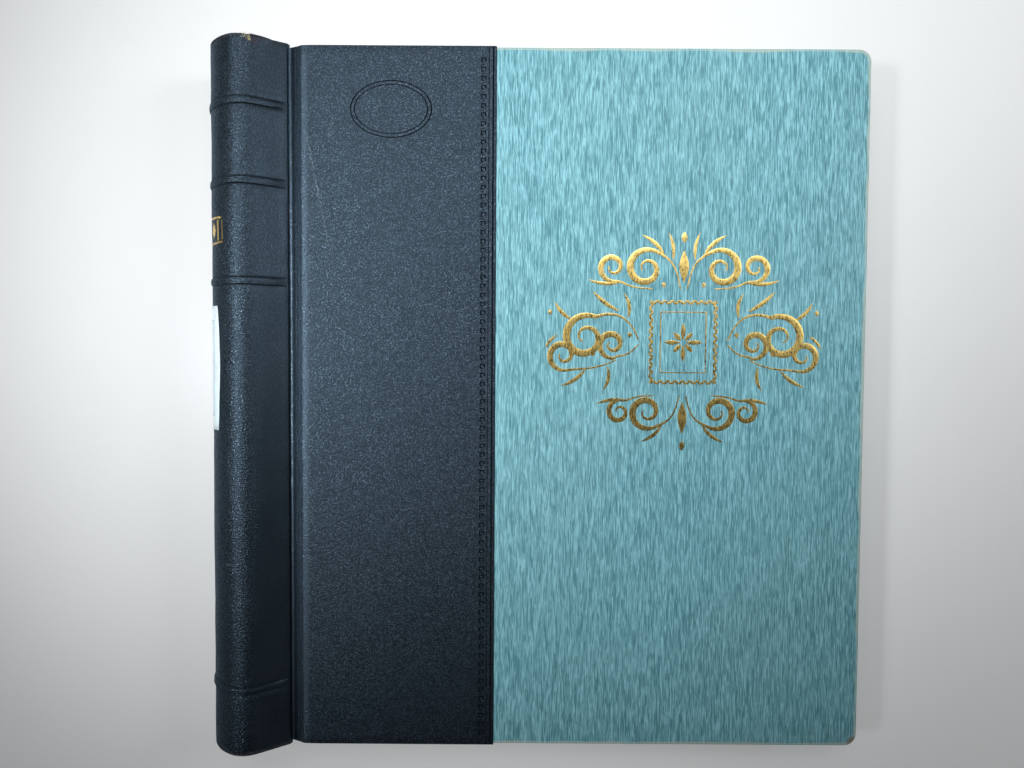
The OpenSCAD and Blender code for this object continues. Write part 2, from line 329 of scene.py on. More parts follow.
class Nodes:
    """A node tree that is laid out from left to right."""

    def __init__(self, tree):
        self.tree = tree
        self.column = 0

    def add(self, kind, inputs=None, **settings):
        node = self.tree.nodes.new(kind)
        for name, value in settings.items():
            setattr(node, name, value)
        for name, value in (inputs or {}).items():
            self.feed(node.inputs[name], value)
        self.column += 1
        node.location = (180 * self.column, -60 * (self.column % 5))
        return node

    def feed(self, socket, value):
        if isinstance(value, bpy.types.NodeSocket):
            self.tree.links.new(value, socket)
        else:
            socket.default_value = value

    def math(self, operation, a, b=0.0, c=0.0, clamp=False):
        node = self.add("ShaderNodeMath", operation=operation, use_clamp=clamp)
        for socket, value in zip(node.inputs, (a, b, c)):
            self.feed(socket, value)
        return node.outputs[0]

    def chain(self, operation, first, *rest):
        for value in rest:
            first = self.math(operation, first, value)
        return first

    def plus(self, *values):
        return self.chain("ADD", *values)

    def times(self, *values):
        return self.chain("MULTIPLY", *values)

    def most(self, *values):
        return self.chain("MAXIMUM", *values)

    def minus(self, a, b):
        return self.math("SUBTRACT", a, b)

    def over(self, a, b):
        return self.math("DIVIDE", a, b)

    def absolute(self, value):
        return self.math("ABSOLUTE", value)

    def vector(self, operation, a, b=(0, 0, 0)):
        node = self.add("ShaderNodeVectorMath", operation=operation)
        self.feed(node.inputs[0], a)
        self.feed(node.inputs[1], b)
        return node.outputs["Value" if operation == "LENGTH" else "Vector"]

    def scaled(self, vector, factors, shift=(0, 0, 0)):
        return self.add("ShaderNodeMapping", {
            "Vector": vector, "Scale": factors, "Location": shift,
        }).outputs[0]

    def noise(self, vector, scale=1.0, detail=2.0, roughness=0.5, distortion=0.0):
        return self.add("ShaderNodeTexNoise", {
            "Vector": vector, "Scale": scale, "Detail": detail, "Roughness": roughness,
            "Distortion": distortion,
        }).outputs["Fac"]

    def ease(self, value, low, high, out_low=0.0, out_high=1.0):
        """Eases from one output to another as a value goes from low to high."""
        return self.add("ShaderNodeMapRange", {
            "Value": value, "From Min": low, "From Max": high,
            "To Min": out_low, "To Max": out_high,
        }, interpolation_type="SMOOTHSTEP").outputs[0]

    def mix(self, factor, a, b):
        node = self.add("ShaderNodeMix", data_type="RGBA", clamp_factor=True)
        self.feed(node.inputs[0], factor)
        self.feed(node.inputs[6], a if isinstance(a, bpy.types.NodeSocket) else (*a, 1))
        self.feed(node.inputs[7], b if isinstance(b, bpy.types.NodeSocket) else (*b, 1))
        return node.outputs[2]

    def parts(self, vector):
        return self.add("ShaderNodeSeparateXYZ", {"Vector": vector}).outputs

    def join(self, x, y, z=0.0):
        return self.add("ShaderNodeCombineXYZ", {"X": x, "Y": y, "Z": z}).outputs[0]

    def use(self, group, **inputs):
        """Places a shared group, with underscores for the spaces of its sockets' names."""
        node = self.add("ShaderNodeGroup", node_tree=group)
        for name, value in inputs.items():
            self.feed(node.inputs[name.replace("_", " ")], value)
        return node.outputs

    def bump(self, height, distance, strength=1.0):
        return self.add("ShaderNodeBump", {
            "Height": height, "Distance": distance, "Strength": strength,
        }).outputs[0]


def shared(name, inputs, outputs, build):
    """A node group that several materials place, built once."""
    if name in bpy.data.node_groups:
        return bpy.data.node_groups[name]
    tree = bpy.data.node_groups.new(name, "ShaderNodeTree")
    for socket, default in inputs.items():
        kind = "NodeSocketVector" if default is None else "NodeSocketFloat"
        made = tree.interface.new_socket(name=socket, in_out="INPUT", socket_type=kind)
        if default is not None:
            made.default_value = default
    for socket in outputs:
        tree.interface.new_socket(name=socket, in_out="OUTPUT", socket_type="NodeSocketFloat")
    n = Nodes(tree)
    given = n.add("NodeGroupInput").outputs
    results = build(n, given)
    end = n.add("NodeGroupOutput")
    for socket, value in zip(outputs, results):
        n.feed(end.inputs[socket], value)
    return tree


def pebble_grain():
    """Pebbles of grained leather, with creases between them; lengths in millimetres."""

    def build(n, given):
        place, size = given["Vector"], given["Size"]
        wander = n.add("ShaderNodeTexNoise", {"Vector": place, "Scale": 0.9, "Detail": 1.0})
        place = n.vector("ADD", place, n.scaled(wander.outputs["Color"], (0.9, 0.9, 0.9)))
        scale = n.over(1.0, size)
        cells = n.add("ShaderNodeTexVoronoi", {"Vector": place, "Scale": scale, "Randomness": 0.9},
                      feature="SMOOTH_F1")
        cells.inputs["Smoothness"].default_value = 0.35
        dome = n.ease(cells.outputs["Distance"], 0.1, 0.75, 1.0, 0.0)
        fine = n.noise(place, 2.4, 2.0, 0.6)
        rise = n.math("MULTIPLY_ADD", fine, 0.35, dome)
        each = n.add("ShaderNodeTexVoronoi", {"Vector": place, "Scale": scale, "Randomness": 0.9})
        shine = n.parts(each.outputs["Color"])[0]
        return rise, n.ease(dome, 0.2, 0.75, 1.0, 0.0), shine

    return shared("pebble_grain", {"Vector": None, "Size": 1.0},
                  ["Height", "Crease", "Shine"], build)


def outline_distance():
    """How far a point lies inside a cover's outline, which is round at its outer corners."""

    def build(n, given):
        x, y, _ = n.parts(given["Vector"])
        radius = given["Corner"]
        qx = n.plus(n.minus(x, given["Far"]), radius)
        qy = n.plus(n.minus(n.absolute(y), given["Half"]), radius)
        beyond = n.vector("LENGTH", n.join(n.most(qx, 0.0), n.most(qy, 0.0)))
        within = n.math("MINIMUM", n.most(qx, qy), 0.0)
        return (n.minus(radius, n.plus(beyond, within)),)

    return shared("outline_distance", {"Vector": None, "Far": 259.5, "Half": 157.5, "Corner": 5.5},
                  ["Inside"], build)


def rubbed_edge():
    """Broken wear along a line: full at the line, gone at the reach."""

    def build(n, given):
        ragged = n.noise(given["Vector"], 0.55, 4.0, 0.7)
        slow = n.noise(given["Vector"], 0.045, 1.0)
        reach = n.times(given["Reach"], n.ease(slow, 0.3, 0.7, 0.35, 1.6))
        worn = n.minus(1.0, n.over(n.absolute(given["Distance"]), reach))
        return (n.ease(n.plus(worn, n.minus(ragged, 0.62)), 0.0, 0.45),)

    return shared("rubbed_edge", {"Vector": None, "Distance": 1.0, "Reach": 1.0}, ["Wear"], build)


def dust_specks():
    """Small specks of dust, one in some of the cells of a loose grid."""

    def build(n, given):
        scale = n.over(1.0, given["Spacing"])
        cells = n.add("ShaderNodeTexVoronoi", {"Vector": given["Vector"], "Scale": scale})
        chance = n.parts(cells.outputs["Color"])[0]
        size = n.over(given["Size"], given["Spacing"])
        near = n.math("LESS_THAN", cells.outputs["Distance"], n.times(size, chance))
        return (n.times(near, n.math("LESS_THAN", chance, given["Share"])),)

    return shared("dust_specks", {"Vector": None, "Spacing": 9.0, "Size": 0.8, "Share": 0.4},
                  ["Specks"], build)


def fine_scratches():
    """Thin pale scratches that wander across a surface."""

    def build(n, given):
        x, y, z = n.parts(given["Vector"])
        bend = n.noise(given["Vector"], 0.03, 1.0)
        across = n.math("MULTIPLY_ADD", bend, 60.0, x)
        drawn = n.noise(n.join(across, n.times(y, 0.04), z), 0.06, 2.0)
        line = n.absolute(n.minus(drawn, 0.5))
        broken = n.ease(n.noise(given["Vector"], 0.07, 3.0, 0.6), 0.58, 0.7)
        return (n.times(n.ease(line, 0.0, given["Width"], 1.0, 0.0), broken),)

    return shared("fine_scratches", {"Vector": None, "Width": 0.004}, ["Scratches"], build)


def long_scuff():
    """A broken scuff from near the head of a cover's joint down and away from it."""

    def build(n, given):
        x, y, _ = n.parts(given["Vector"])
        along = n.minus(122.0, y)
        wander = n.times(n.minus(n.noise(given["Vector"], 0.12, 3.0), 0.5), 3.0)
        line = n.plus(n.math("MULTIPLY_ADD", along, 0.2, 7.6), wander)
        near = n.ease(n.absolute(n.minus(x, line)), 0.15, 0.6, 1.0, 0.0)
        span = n.times(n.ease(along, 0.0, 4.0), n.ease(along, 26.0, 75.0, 1.0, 0.0))
        dots = n.ease(n.noise(given["Vector"], 0.8, 2.0, 0.6), 0.42, 0.6)
        return (n.times(near, span, dots),)

    return shared("long_scuff", {"Vector": None}, ["Scuff"], build)


def upright_streaks():
    """Fine upright streaks: shares of light and of dark streaks, and a height."""

    def build(n, given):
        place = given["Vector"]
        light = n.noise(n.scaled(place, (2.3, 0.11, 1.0)), 1.0, 1.0, 0.6, 0.03)
        fine = n.noise(n.scaled(place, (3.4, 0.2, 1.0), (31, 7, 0)), 1.0, 1.0, 0.6, 0.03)
        dark = n.noise(n.scaled(place, (2.6, 0.14, 1.0), (11, 53, 0)), 1.0, 1.0, 0.5, 0.03)
        both = n.plus(n.times(light, 0.45), n.times(fine, 0.55))
        return n.ease(both, 0.47, 0.57), n.ease(dark, 0.5, 0.62), both

    return shared("upright_streaks", {"Vector": None}, ["Light", "Dark", "Height"], build)


def woven_threads():
    """A plain weave of two sets of threads. Its Light share follows the height: lighter on the tops
    and slubs, and darker in the hollows, which is painted shade.
    """

    def build(n, given):
        turns = n.over(2 * math.pi, given["Thread"])
        loose = n.add("ShaderNodeTexNoise", {"Vector": given["Vector"], "Scale": 0.4})
        wobble = n.scaled(loose.outputs["Color"], (0.35, 0.35, 0.35))
        x, y, _ = n.parts(n.vector("ADD", given["Vector"], wobble))
        warp = n.math("SINE", n.times(x, turns))
        weft = n.math("SINE", n.times(y, turns))
        cross = n.times(warp, weft)
        slub = n.noise(n.scaled(given["Vector"], (0.15, 1.6, 0.5)), 1.0, 2.0)
        rise = n.math("MULTIPLY_ADD", cross, 0.35, n.math("MULTIPLY_ADD", slub, 0.5, 0.25))
        return rise, n.ease(rise, 0.3, 0.7)

    return shared("woven_threads", {"Vector": None, "Thread": 0.5}, ["Height", "Light"], build)


# How far inside its outer line a frame's inner line runs, in millimetres
INNER_RULE = 1.1


def stamp_frames():
    """Ruled frames for stamps in rows and columns, inside a page; lengths in millimetres."""

    def build(n, given):
        x, y, _ = n.parts(given["Vector"])

        def cell(value, pitch):
            return n.minus(n.math("MODULO", value, pitch), n.times(pitch, 0.5))

        def box(px, py, half_w, half_h):
            return n.most(n.minus(n.absolute(px), half_w),
                          n.minus(n.absolute(py), half_h))

        px, py = cell(x, given["Pitch X"]), cell(y, given["Pitch Y"])
        frame = box(px, py, n.times(given["Frame W"], 0.5), n.times(given["Frame H"], 0.5))
        line = n.math("LESS_THAN", n.absolute(frame), given["Line"])
        within = n.absolute(n.plus(frame, INNER_RULE))
        inner = n.math("LESS_THAN", within, n.times(given["Line"], 0.5))
        page_w = n.times(given["Pitch X"], given["Columns"], 0.5)
        page_h = n.times(given["Pitch Y"], given["Rows"], 0.5)
        beyond = box(n.minus(x, page_w), n.minus(y, page_h), page_w, page_h)
        return (n.times(n.most(line, inner), n.math("LESS_THAN", beyond, 0.0)),)

    return shared("stamp_frames", {
        "Vector": None, "Pitch X": 40.0, "Pitch Y": 50.0, "Frame W": 32.0, "Frame H": 38.0,
        "Columns": 4.0, "Rows": 4.0, "Line": 0.14,
    }, ["Lines"], build)


def new_material(name):
    """A material and its bench place in millimetres, with the shader still to be fed."""
    material = bpy.data.materials.new(name)
    material.use_nodes = True
    n = Nodes(material.node_tree)
    seen = n.add("ShaderNodeTexCoord").outputs["Object"]
    place = n.add("ShaderNodeMapping", {
        "Vector": seen, "Scale": (1 / MM,) * 3, "Rotation": BENCH.to_euler(),
        "Location": BENCH.translation / MM,
    }).outputs[0]
    return material, n, place


def finish_material(material, n, base, roughness, normal=None, **constants):
    shader = material.node_tree.nodes["Principled BSDF"]
    linked = isinstance(base, bpy.types.NodeSocket)
    n.feed(shader.inputs["Base Color"], base if linked else (*base, 1))
    n.feed(shader.inputs["Roughness"], roughness)
    if normal is not None:
        n.feed(shader.inputs["Normal"], normal)
    for name, value in constants.items():
        shader.inputs[name.replace("_", " ")].default_value = value
    return material


def once(build):
    """Builds a material when it is first asked for."""

    name = build.__name__.replace("_", " ")

    def made():
        return bpy.data.materials.get(name) or build(name)

    return made


# In millimetres: the half height at which the leather is rubbed, between the edge of the covers
# and that of the spine; a leaf's far edge, half height and corner; the worn place in the head cap;
# and the paper's edge beside the leather and its torn corner
RUBBED_HALF = 158.6
LEAF_FAR, LEAF_HALF, LEAF_CORNER = 246.0, 148.5, 3.0
WORN_CAP = (-13.5, 159.0, 22.0)
PAPER_START = 93.0
TORN_CORNER = (257.5, -155.5, 0)


@once
def grained_leather(name):
    material, n, place = new_material(name)
    c = colours()
    grain = n.use(pebble_grain(), Vector=place, Size=0.62)
    x, y, z = n.parts(place)
    inside = n.use(outline_distance(), Vector=place, Far=400.0, Half=RUBBED_HALF, Corner=0.5)
    rub = n.use(rubbed_edge(), Vector=place, Distance=inside["Inside"], Reach=0.9)["Wear"]
    specks = n.use(dust_specks(), Vector=place, Spacing=7.0, Size=1.1, Share=0.33)["Specks"]
    scratches = n.use(fine_scratches(), Vector=place, Width=0.003)["Scratches"]
    cloudy = n.noise(place, 0.03, 3.0, 0.6)
    base = n.mix(n.ease(cloudy, 0.3, 0.7), shade_of(c.leather, 0.7), shade_of(c.leather, 1.4))
    base = n.mix(n.times(rub, 0.6), base, c.leather_rub)
    base = n.mix(n.times(specks, 0.4), base, (0.35, 0.37, 0.38))
    scuff = n.use(long_scuff(), Vector=place)["Scuff"]
    scuffs = n.times(scuff, n.math("GREATER_THAN", z, 0.0))
    base = n.mix(n.times(n.most(scratches, scuffs), 0.4), base, (0.2, 0.22, 0.24))

    # Worn place in the head cap
    worn = n.vector("LENGTH", n.vector("SUBTRACT", place, WORN_CAP))
    worn = n.math("MULTIPLY_ADD", n.noise(place, 0.6, 4.0, 0.7), 4.0, worn)
    frayed = n.ease(worn, 4.2, 6.4, 0.85, 0.0)
    base = n.mix(frayed, base, (0.045, 0.018, 0.016))

    # Painted shade: the hollows of the blind tooling on the covers and the creases at the feet of
    # the bands on the spine are painted darker, and are also made rougher and duller further on
    pressed = n.ease(n.absolute(z), 15.0, 15.07, 1.0, 0.0)
    dark = n.times(pressed, n.math("GREATER_THAN", x, 14.5))
    for band in band_places():
        away = n.absolute(n.minus(y, band / MM))
        band_foot_shade = n.absolute(n.minus(away, sizes().band_width / 2 / MM + 0.1))
        band_foot_shade = n.times(n.ease(band_foot_shade, 0.05, 0.4, 0.75, 0.0), n.ease(x, -1.5, -0.5, 1.0, 0.0))
        dark = n.most(dark, band_foot_shade)
    base = n.mix(n.times(dark, 0.8), base, (0.001, 0.0013, 0.0017))

    # The flank of the spine is smoother than the rest
    flank = n.times(n.ease(x, -20.0, -8.0), n.ease(x, -1.0, 4.0, 1.0, 0.0))
    relief = n.times(grain["Height"], n.ease(flank, 0.0, 1.0, 1.0, 0.3))
    rough = n.math("MULTIPLY_ADD", grain["Crease"], 0.2, n.ease(cloudy, 0.25, 0.75, 0.27, 0.32))
    rough = n.math("MULTIPLY_ADD", n.most(rub, frayed, dark), 0.35, rough)
    normal = n.bump(relief, 0.11 * MM, 1.0)
    finish_material(material, n, base, rough, normal, IOR=2.2)
    shader = material.node_tree.nodes["Principled BSDF"]

    # Creases and some of the pebbles stay dull
    dull = n.most(grain["Crease"], n.ease(grain["Shine"], 0.5, 0.9, 0.7, 0.0))
    dull = n.times(dull, n.ease(flank, 0.0, 1.0, 0.68, 0.25))
    dull = n.math("MULTIPLY_ADD", flank, 0.28, dull)
    handled = n.times(n.ease(x, 2.0, 3.5), n.ease(x, 6.5, 10.0, 1.0, 0.0))
    dull = n.times(dull, n.ease(handled, 0.0, 1.0, 1.0, 0.45))
    # The leather on the joint's strip is made dull as well, so that it stays dark: painted shade in
    # the joint. The painted shade of the tooling and the bands is dulled here too.
    foot = n.times(n.ease(x, 0.3, 0.8, 0.0, 0.7), n.ease(x, 1.9, 2.6, 1.0, 0.0))
    dull = n.most(dull, foot, n.times(dark, 0.85))
    n.feed(shader.inputs["Metallic"], dull)
    # The sheen's blue tint is painted: it stands in for the cool colour of the light.
    shader.inputs["Specular Tint"].default_value = (0.52, 0.76, 1.0, 1)
    return material


@once
def cover_paper(name):
    material, n, place = new_material(name)
    c = colours()
    streaks = n.use(upright_streaks(), Vector=place)
    inside = n.use(outline_distance(), Vector=place)["Inside"]
    line = n.minus(inside, 0.75)
    rub = n.use(rubbed_edge(), Vector=place, Distance=line, Reach=0.8)["Wear"]
    specks = n.use(dust_specks(), Vector=place, Spacing=11.0, Size=0.9, Share=0.3)["Specks"]
    fade = n.noise(place, 0.012, 2.0)
    x = n.parts(place)[0]
    ends = n.math("MINIMUM", n.absolute(n.minus(x, PAPER_START)), 30.0)
    beside = n.ease(ends, 0.0, 4.0, 0.35, 0.0)
    base = n.mix(n.math("ADD", streaks["Light"], beside, clamp=True), c.paper_mid, c.paper_light)
    base = n.mix(n.times(streaks["Dark"], 0.8), base, c.paper_dark)
    base = n.mix(n.ease(fade, 0.35, 0.7, 0.0, 0.12), base, (0.24, 0.44, 0.42))
    base = n.mix(n.times(rub, 0.7), base, c.paper_rub)
    flat = n.vector("MULTIPLY", place, (1, 1, 0))
    corner = n.vector("LENGTH", n.vector("SUBTRACT", flat, TORN_CORNER))
    torn = n.plus(corner, n.times(n.noise(place, 0.5, 4.0, 0.7), 6.0))
    base = n.mix(n.ease(torn, 4.6, 5.6, 0.8, 0.0), base, c.board)
    base = n.mix(n.times(specks, 0.75), base, (0.66, 0.72, 0.72))
    normal = n.bump(streaks["Height"], 0.05 * MM, 0.6)
    rough = n.ease(streaks["Height"], 0.3, 0.7, 0.62, 0.5)
    return finish_material(material, n, base, rough, normal, Specular_IOR_Level=0.3)


@once
def gold_foil(name):
    material, n, place = new_material(name)
    c = colours()
    grain = n.noise(n.scaled(place, (1.6, 0.5, 1.0)), 1.0, 3.0, 0.6)
    lost = n.noise(place, 1.3, 3.0, 0.7)
    bright = [min(1, v * 1.08) for v in c.gold]
    base = n.mix(n.ease(grain, 0.3, 0.7), shade_of(c.gold, 0.86), bright)
    base = n.mix(n.ease(lost, 0.66, 0.74, 0.0, 0.7), base, (0.22, 0.2, 0.1))
    rough = n.ease(grain, 0.3, 0.7, 0.24, 0.36)
    normal = n.bump(grain, 0.03 * MM, 0.5)
    return finish_material(material, n, base, rough, normal, Metallic=1.0)


def card_base(n, place):
    """Card that browns towards its edges and carries a few foxed spots."""
    light, toned = colours().leaf, colours().leaf_toned
    inside = n.use(
        outline_distance(), Vector=place, Far=LEAF_FAR, Half=LEAF_HALF, Corner=LEAF_CORNER
    )["Inside"]
    drift = n.math("MULTIPLY_ADD", n.noise(place, 0.05, 3.0, 0.6), 14.0, inside)
    base = n.mix(n.ease(drift, 4.0, 17.0, 0.5, 0.0), light, toned)
    base = n.mix(n.ease(n.noise(place, 0.9, 3.0, 0.7), 0.35, 0.75, 0.0, 0.12), base, toned)
    spots = n.use(dust_specks(), Vector=place, Spacing=23.0, Size=2.6, Share=0.35)["Specks"]
    return n.mix(n.times(spots, 0.28), base, toned)


@once
def leaf_card(name):
    material, n, place = new_material(name)
    c = colours()
    base = card_base(n, place)
    layers = n.noise(n.scaled(place, (0.02, 0.02, 1.1)), 1.0, 1.0)
    base = n.mix(n.ease(layers, 0.35, 0.65, 0.0, 0.3), base, c.leaf_toned)
    fibre = n.noise(n.scaled(place, (2.2, 0.9, 2.2)), 1.0, 3.0, 0.6)
    return finish_material(material, n, base, 0.82, n.bump(fibre, 0.03 * MM, 0.5))


# Frames on each page: columns, rows, pitch across and up, width and height, in millimetres
PAGES = {
    "leaf_1": (4, 4, 48, 56, 34, 42), "leaf_2": (5, 5, 40, 46, 27, 33),
    "leaf_3": (3, 4, 62, 58, 46, 38), "leaf_4": (4, 5, 48, 46, 36, 30),
    "leaf_5": (5, 4, 40, 56, 28, 36), "leaf_6": (4, 4, 48, 56, 30, 38),
}


# The ruled border round a page, in millimetres
BORDER_START = (-21.0, 141.0, 0)
BORDER = {"Pitch_X": 218.0, "Pitch_Y": 282.0, "Frame_W": 214.0, "Frame_H": 276.0, "Line": 0.28}
PAGE_MIDDLE = (130.0, 4.0)


def page_lines(n, place, leaf):
    """The lines ruled on a page: its border, and its frames for stamps."""
    lines = n.use(stamp_frames(), Vector=n.scaled(place, (1, 1, 1), BORDER_START),
                  Columns=1.0, Rows=1.0, **BORDER)["Lines"]
    if leaf in PAGES:
        columns, rows, px, py, w, h = (float(v) for v in PAGES[leaf])
        x, y = PAGE_MIDDLE
        shift = (-(x - columns * px / 2), rows * py / 2 + y, 0)
        frames = n.use(stamp_frames(), Vector=n.scaled(place, (1, 1, 1), shift), Pitch_X=px,
                       Pitch_Y=py, Frame_W=w, Frame_H=h, Columns=columns, Rows=rows)["Lines"]
        lines = n.most(lines, frames)
    return lines


def printed_leaf(leaf):
    """Album card that is ruled for stamps, or blank on the flyleaf."""
    material, n, place = new_material(f"printed {leaf}")
    base = card_base(n, place)
    fibre = n.noise(n.scaled(place, (2.2, 0.9, 2.2)), 1.0, 3.0, 0.6)
    if leaf != "flyleaf":
        ink = n.times(page_lines(n, place, leaf), n.ease(fibre, 0.2, 0.6, 0.6, 0.95))
        base = n.mix(ink, base, colours().ink)
    return finish_material(material, n, base, 0.82, n.bump(fibre, 0.03 * MM, 0.5))


def woven(name, light, dark, thread):
    """Cloth of a plain weave between two colours: the dark one lies in the weave's hollows as
    painted shade, and the light one lies on its tops and slubs.
    """
    if name in bpy.data.materials:
        return bpy.data.materials[name]
    material, n, place = new_material(name)
    cloth = n.use(woven_threads(), Vector=place, Thread=thread)
    base = n.mix(cloth["Light"], dark, light)
    base = n.mix(n.ease(n.noise(place, 0.08, 3.0, 0.6), 0.35, 0.75, 0.0, 0.35), base, dark)
    return finish_material(material, n, base, 0.85, n.bump(cloth["Height"], 0.12 * MM, 0.7))


def linen_weave():
    c = colours()
    return woven("linen weave", c.linen, shade_of(c.linen, 0.6), 0.55)


def cotton_thread():
    c = colours()
    return woven("cotton thread", c.thread, shade_of(c.thread, 0.45), 0.3)


def papered(name, light, dark, roughness=0.85, streak=(0.5, 0.5, 0.5)):
    """Paper or board with fibres between two colours."""
    if name in bpy.data.materials:
        return bpy.data.materials[name]
    material, n, place = new_material(name)
    fibre = n.noise(n.scaled(place, streak), 1.6, 5.0, 0.7)
    cloud = n.noise(place, 0.04, 3.0, 0.6)
    base = n.mix(n.ease(fibre, 0.3, 0.7), dark, light)
    base = n.mix(n.ease(cloud, 0.4, 0.75, 0.0, 0.35), base, dark)
    return finish_material(material, n, base, roughness, n.bump(fibre, 0.05 * MM, 0.6))


@once
def brushed_spring(name):
    material, n, place = new_material(name)
    c = colours()
    brushed = n.noise(n.scaled(place, (3.0, 0.05, 3.0)), 1.0, 3.0, 0.6)
    rust = n.noise(place, 0.25, 5.0, 0.7)
    base = n.mix(n.ease(brushed, 0.3, 0.7), shade_of(c.steel, 0.8), c.steel)
    base = n.mix(n.ease(rust, 0.58, 0.7, 0.0, 0.7), base, (0.16, 0.08, 0.04))
    rough = n.ease(brushed, 0.3, 0.7, 0.3, 0.45)
    return finish_material(material, n, base, rough, n.bump(brushed, 0.02 * MM, 0.4), Metallic=0.9)


@once
def lever_enamel(name):
    material, n, place = new_material(name)
    c = colours()
    chipped = n.noise(place, 0.5, 5.0, 0.75)
    orange = n.noise(place, 1.4, 2.0)
    base = n.mix(n.ease(chipped, 0.66, 0.7, 0.0, 0.8), c.enamel, c.steel)
    rough = n.ease(chipped, 0.5, 0.7, 0.32, 0.5)
    return finish_material(material, n, base, rough, n.bump(orange, 0.04 * MM, 0.4))


# Half the width over which the label's frame is laid out, and the frame's margin, in millimetres
LABEL_HALF_WIDTH, LABEL_MARGIN = 22.5, 13


@once
def label_paper(name):
    material, n, place = new_material(name)
    c = colours()
    box = bench_box("spine_label")
    mid = (box[0].y + box[1].y) / 2 / MM
    section = Section()
    x, y, z = n.parts(place)
    angle = n.math("ARCTAN2", z, n.minus(section.back.x / MM, x))
    round_it = n.times(angle, section.back_r / MM)
    half_w, half_h = LABEL_HALF_WIDTH, (box[1].y - box[0].y) / 2 / MM
    at = n.join(n.plus(round_it, half_w), n.plus(n.minus(y, mid), half_h))
    border = n.use(
        stamp_frames(), Vector=at, Pitch_X=2 * half_w, Pitch_Y=2 * half_h,
        Frame_W=2 * half_w - LABEL_MARGIN, Frame_H=2 * half_h - LABEL_MARGIN, Columns=1.0,
        Rows=1.0, Line=0.22,
    )["Lines"]
    fibre = n.noise(place, 2.2, 4.0, 0.7)
    stain = n.noise(place, 0.09, 4.0, 0.65)
    # The label's colour holds a painted blue-green cast of bounced light.
    base = n.mix(n.ease(stain, 0.45, 0.75, 0.0, 0.55), c.label, (0.62, 0.58, 0.46))
    base = n.mix(n.times(border, 0.75), base, (0.12, 0.2, 0.4))
    return finish_material(material, n, base, 0.7, n.bump(fibre, 0.03 * MM, 0.5))


@once
def pale_floor(name):
    material, n, place = new_material(name)
    c = colours()
    mottle = n.noise(place, 0.02, 4.0, 0.6)
    base = n.mix(n.ease(mottle, 0.3, 0.7), shade_of(c.floor, 0.985), c.floor)
    away = n.vector("LENGTH", place)
    seen = n.add("ShaderNodeLightPath").outputs["Is Camera Ray"]
    far = n.times(seen, n.ease(away, 280.0, 1000.0))
    shader = finish_material(material, n, base, 0.9).node_tree.nodes["Principled BSDF"]
    glow = n.mix(far, n.mix(seen, (0, 0, 0), (0.15, 0.15, 0.15)), (0.53, 0.555, 0.56))
    n.feed(shader.inputs["Emission Color"], glow)
    shader.inputs["Emission Strength"].default_value = 1.0
    return material


# ---- Section of the spine ----


class Section:
    """Centres and radii of the spine's outer face, square to the leaves."""

    def __init__(self):
        s = sizes()
        cover_top = bench_box("front_leather")[1].z
        flaps = bench_box("spine_leather")
        self.half = flaps[1].y
        self.flap_x = flaps[1].x
        self.depth = -flaps[0].x - s.band_height
        self.slope = s.flank_slope
        self.normal = Vector((math.sin(self.slope), 0, math.cos(self.slope)))
        self.run = Vector((math.cos(self.slope), 0, -math.sin(self.slope)))
        self.hinge_z = (hinges["front_cover_hinge"] - hinges["back_cover_hinge"]).length / 2
        self.lever_z = bench_box("front_lever")[1].z
        self.lip = Vector((-s.lip_back, 0, self.lever_z + s.lip_radius - 0.15 * MM))
        self.lip_depth = s.lip_radius - 0.1 * MM
        r = s.shoulder_radius
        z = cover_top + s.shoulder_rise - r
        x = self.lip.x - (r - self.lip_depth - (self.lip.z - z) * math.cos(self.slope)) / math.sin(
            self.slope
        )
        self.shoulder = Vector((x, 0, z))
        reach = self.depth - r
        back_x = (x * x + z * z - reach * reach) / (2 * (reach + x))
        self.back = Vector((back_x, 0, 0))
        self.back_r = self.depth + back_x
        self.turn = math.atan2(z, x - back_x)
        self.flank = (self.lip - self.shoulder).dot(self.run)

    def shoulder_top(self, depth=0.0):
        return self.shoulder + self.normal * (sizes().shoulder_radius - depth)

    def flank_end(self, depth=0.0, stop=0.0):
        return self.shoulder_top(depth) + self.run * (self.flank - stop)

    def on_back(self, angle, out=0.0):
        """A point on the back, at an angle from the fore-edge, that far out of it."""
        r = self.back_r + out
        return self.back + Vector((math.cos(angle), 0, math.sin(angle))) * r


def first_edge(name, start, half):
    """A single edge along the spine at a point, ready to be swept."""
    piece = begin(name, bpy.ops.mesh.primitive_plane_add, size=1, location=(start.x, 0, start.z))
    select_all()
    bpy.ops.transform.resize(value=(1 * MM, 2 * half, 1))
    move(0.5 * MM, 0, 0)
    pick("verts", lambda v: v.co.x > start.x + 0.5 * MM)
    bpy.ops.mesh.delete(type="VERT")
    select_all()
    return piece


def sweep_to(here, there, steps=1):
    """Sweeps the selected edge in a straight line."""
    step = (there - here) / steps
    for _ in range(steps):
        extrude(step)
    return there


def sweep_round(centre, angle, steps):
    """Sweeps the selected edge about a line along the spine."""
    bpy.ops.mesh.spin(steps=steps, angle=angle, center=centre, axis=(0, 1, 0))


LIP_STEPS, FLANK_STEPS, SHOULDER_STEPS, BACK_STEPS, TURNED_STEPS = 6, 4, 12, 28, 7


